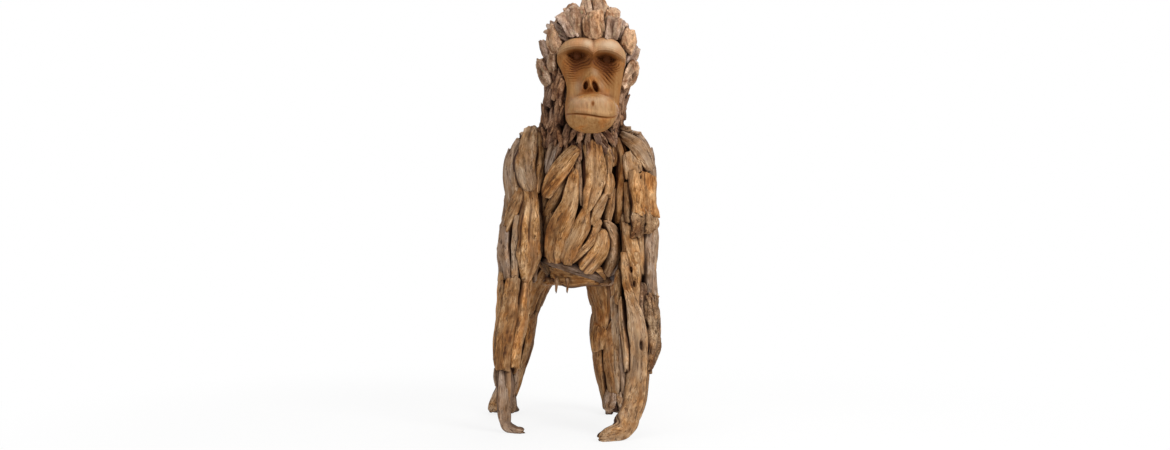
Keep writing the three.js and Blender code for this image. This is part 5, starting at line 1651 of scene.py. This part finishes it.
    def build(self, material: bpy.types.Material) -> bpy.types.Object:
        """Carves the face.

        Args:
            material: The finish of its wood.

        Returns:
            The finished face.
        """
        bm = bmesh.new()
        bmesh.ops.create_grid(bm, x_segments=self.columns, y_segments=self.rows, size=1.0)
        rim = [edge for edge in bm.edges if edge.is_boundary]
        walls = bmesh.ops.extrude_edge_only(bm, edges=rim)["geom"]
        lowered = [part for part in walls if isinstance(part, bmesh.types.BMVert)]
        bmesh.ops.translate(bm, verts=lowered, vec=(0, 0, -1))
        back = [part for part in walls if isinstance(part, bmesh.types.BMEdge) and part.is_boundary]
        bmesh.ops.contextual_create(bm, geom=back)
        bmesh.ops.recalc_face_normals(bm, faces=bm.faces)
        mesh = bpy.data.meshes.new("face_carving")
        bm.to_mesh(mesh)
        bm.free()
        unit = np.empty(len(mesh.vertices) * 3)
        mesh.vertices.foreach_get("co", unit)
        unit = unit.reshape(-1, 3)
        share = unit[:, 1] * 0.5 + 0.5
        outline = np.array(self.outline)
        half = self.half_width * smooth_through(outline[:, 0], outline[:, 1], share)
        shift = smooth_through(outline[:, 0], outline[:, 2], share)
        x, height = unit[:, 0] * half + shift, share * self.height
        out, dark, pale = self.relief(x, height)
        edge = 13 * np.abs(unit[:, 0]) ** 9 + 12 * np.abs(unit[:, 1]) ** 16
        jaw = self.jaw_cut * np.clip(1 - height / self.jaw_height, 0, 1) ** 1.6
        out = np.where(unit[:, 2] < -0.5, jaw, np.maximum(out - edge, 6))
        table = np.array(self.head.sections)
        middle_y = smooth_through(table[:, 0], table[:, 2], np.array([self.seat_level]))[0]
        points = np.stack([x, -out, height], axis=-1) * MM + np.array([
            self.head.place[0] + self.middle * MM,
            self.head.place[1] + (middle_y - self.seat) * MM,
            self.head.base + 0.004,
        ])
        grain = np.stack([x, height, out], axis=-1) * MM
        wear = np.stack([pale, dark, np.zeros_like(dark)], axis=-1)
        piece = Cluster("face_carving", "carved_wood", ("face",))
        return seat_mesh(piece, mesh, points, grain, wear, material)


@dataclass(frozen=True)
class CarvedFinish(WoodFinish):
    """Smooth rubbed wood: grey where weathered and pale where highlights are painted, russet and dark with
    stains and with painted shade in the hollows.
    """

    russet: tuple[float, float, float] = (0.240, 0.088, 0.022)

    def surface(self, wires: Wiring, grain: bpy.types.NodeSocket, wear: bpy.types.NodeOutputs) -> tuple:
        """Works out the wood's look.

        Args:
            wires: The material's nodes.
            grain: Coordinates that follow the grain.
            wear: How pale it is, from weathering and painted highlights, and how dark, from stains and
                painted shade.

        Returns:
            The sockets of its colour and of its height.
        """
        pale, dark = wear[0], wear[1]
        lines = wires.noise(grain, (300, 14, 120), 4)
        bands = wires.noise(grain, (46, 4, 46), 3)
        figure = wires.total(wires.times(bands, 0.5), (lines, 0.5))
        wood = wires.shades(figure, (0.38, self.middle), (0.62, self.light))
        warm = wires.ramp(wires.noise(grain, (22, 15, 22), 5), 0.45, 0.62)
        wood = wires.mix("MULTIPLY", warm, wood, (1.06, 0.82, 0.60))
        blotches = wires.ramp(wires.noise(grain, (70, 40, 70), 4), 0.54, 0.70)
        wood = wires.mix("MULTIPLY", blotches, wood, (0.74, 0.66, 0.56))
        # Painted highlights and grey weathering where pale; stains and painted shade where dark, first russet
        # and then dark.
        wood = wires.mix("MIX", wires.times(pale, self.patina), wood, self.grey)
        stain = wires.total(wires.times(dark, 1.1), (bands, 0.30))
        wood = wires.mix("MIX", wires.ramp(stain, 0.15, 0.70), wood, self.russet)
        return wires.mix("MIX", wires.ramp(stain, 0.62, 1.15), wood, self.dark), lines


CARVED_WOOD = CarvedFinish(
    "carved wood", dark=(0.110, 0.032, 0.008), middle=(0.285, 0.130, 0.040), light=(0.450, 0.245, 0.094),
    grey=(0.610, 0.470, 0.330), patina=0.80, roughness=0.54, shine=0.10, rough_depth=0.0005,
)


@dataclass
class Studio:
    """Camera, lamps, floor and background."""

    place: tuple[float, float]
    camera_distance: float = 3.9
    camera_height: float = 0.583
    lens: float = 40.68
    sensor: float = 36.0
    # Where the floor starts and ends to fade from its own white to the background's, and the two whites.
    fade: tuple[float, float, float, float] = (0.5, 1.9, 0.84, 1.0)

    def build(self) -> None:
        """Sets the studio up."""
        self.camera()
        self.lamps()
        self.floor()
        self.background()
        bpy.context.scene.view_settings.view_transform = "Standard"

    def camera(self) -> None:
        """The camera that sees the figure as the photograph does."""
        data = bpy.data.cameras.new("camera")
        data.lens, data.sensor_width, data.sensor_fit = self.lens, self.sensor, "HORIZONTAL"
        made = bpy.data.objects.new("camera", data)
        made.location = (self.place[0], self.place[1] - self.camera_distance, self.camera_height)
        made.rotation_euler = (math.radians(90), 0, 0)
        bpy.context.scene.collection.objects.link(made)
        bpy.context.scene.camera = made

    def lamps(self) -> None:
        """Large soft lamps in front, above and behind."""
        for name, spot, size, power in (
            ("key", (2.3, -2.5, 2.4), 1.8, 82),
            ("fill", (-2.3, -2.7, 1.5), 2.2, 25),
            ("top", (0.2, -0.2, 3.2), 1.8, 34),
            ("rear", (0.6, 3.0, 2.2), 2.4, 46),
        ):
            data = bpy.data.lights.new(name, "AREA")
            data.shape, data.size, data.energy = "DISK", size, power
            made = bpy.data.objects.new(name, data)
            made.location = spot
            aim = Vector((0, 0, 0.6)) - Vector(spot)
            made.rotation_euler = aim.to_track_quat("-Z", "Y").to_euler()
            bpy.context.scene.collection.objects.link(made)

    def floor(self) -> None:
        """A pale plain floor that keeps the figure's shadow."""
        bm = bmesh.new()
        bmesh.ops.create_grid(bm, x_segments=4, y_segments=4, size=12)
        mesh = bpy.data.meshes.new("floor")
        bm.to_mesh(mesh)
        bm.free()
        made = bpy.data.objects.new("floor", mesh)
        bpy.context.scene.collection.objects.link(made)
        material = bpy.data.materials.new("pale floor")
        material.use_nodes = True
        wires = Wiring(material.node_tree)
        shader = wires.tree.nodes["Principled BSDF"]
        plain = {"Base Color": (0.86, 0.86, 0.86), "Roughness": 0.9, "Specular IOR Level": 0.1}
        white = wires.node("ShaderNodeEmission").outputs[0]
        place = wires.node("ShaderNodeTexCoord").outputs["Object"]
        away = wires.node("ShaderNodeVectorMath", place, operation="LENGTH").outputs["Value"]
        seen = wires.times(seen_rays(wires), wires.ramp(away, *self.fade))
        blend = wires.node("ShaderNodeMixShader", seen, wires.fill(shader, plain), white).outputs[0]
        wires.feed(wires.tree.nodes["Material Output"].inputs[0], blend)
        mesh.materials.append(material)

    def background(self) -> None:
        """White behind the figure, and a dimmer even light from all round."""
        world = bpy.data.worlds.new("studio")
        bpy.context.scene.world = world
        world.use_nodes = True
        wires = Wiring(world.node_tree)
        even = wires.fill(wires.tree.nodes["Background"], {"Color": (1.0, 0.99, 0.97), "Strength": 0.30})
        white = wires.node("ShaderNodeBackground", (1, 1, 1)).outputs[0]
        blend = wires.node("ShaderNodeMixShader", seen_rays(wires), even, white).outputs[0]
        wires.feed(wires.tree.nodes["World Output"].inputs[0], blend)


def seen_rays(wires: Wiring) -> bpy.types.NodeSocket:
    """1 for rays that the camera sees, straight or in a gloss or glass."""
    rays = wires.node("ShaderNodeLightPath").outputs
    return wires.most(*(rays[name] for name in ("Is Camera Ray", "Is Glossy Ray", "Is Transmission Ray")))


@dataclass(frozen=True)
class BlockFinish(WoodFinish):
    """Dark timber behind the roots, read from the place in space."""

    def attribute(self, wires: Wiring, name: str) -> bpy.types.NodeSocket:
        """Object coordinates turned so that the grain stands up, or zero tone, wear, shade and knot values.
        """
        if name == "wear":
            return wires.node("ShaderNodeCombineXYZ").outputs[0]
        place = wires.node("ShaderNodeTexCoord").outputs["Object"]
        return wires.fill(wires.node("ShaderNodeMapping", place), {"Rotation": (math.radians(90), 0, 0)})


BLOCK_TIMBER = BlockFinish(
    "rough timber", dark=(0.012, 0.006, 0.003), middle=(0.05, 0.025, 0.012), light=(0.09, 0.05, 0.025),
    grey=(0.06, 0.042, 0.03), patina=0.4, roughness=0.95,
)
FINISHES = (BROWN_ROOT, GREY_ROOT, BARK_ROOT, MANE_ROOT, NET_ROOT, DARK_ROOT, CARVED_WOOD)
BLOCKS = ("trunk_block", "head_block", "arm_post_right", "arm_post_left", "leg_post_right", "leg_post_left")


def main() -> None:
    """Builds the figure, sub-assembly by sub-assembly."""
    logging.basicConfig(level=logging.INFO, format="%(name)s: %(message)s")
    lineup = line_up()
    Studio(lineup.trunk.place).build()
    finishes = {finish.name.replace(" ", "_"): finish.build() for finish in FINISHES}
    timber = BLOCK_TIMBER.build()
    for name in BLOCKS:
        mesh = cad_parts[name].data
        mesh.materials.clear()
        mesh.materials.append(timber)
    pieces = [Face(lineup.head).build(finishes["carved_wood"])]
    assemblies = (
        Head(lineup.head),
        Chest(lineup.trunk),
        RightArm(lineup.arm_right),
        LeftArm(lineup.arm_left),
        HindLeg(lineup.leg_right, "right", 1, 61, (92, 288)),
        HindLeg(lineup.leg_left, "left", -1, 71, (82, 268)),
        Back(lineup.trunk),
    )
    for assembly in assemblies:
        for cluster in assembly.pieces():
            pieces.append(cluster.build(finishes[cluster.finish or cluster.slot]))
    BLANKS.clear()
    # Painted shade: darkens each piece's colour where other pieces close in round it.
    GapShade(pieces).darken()


if __name__ == "__main__":
    main()
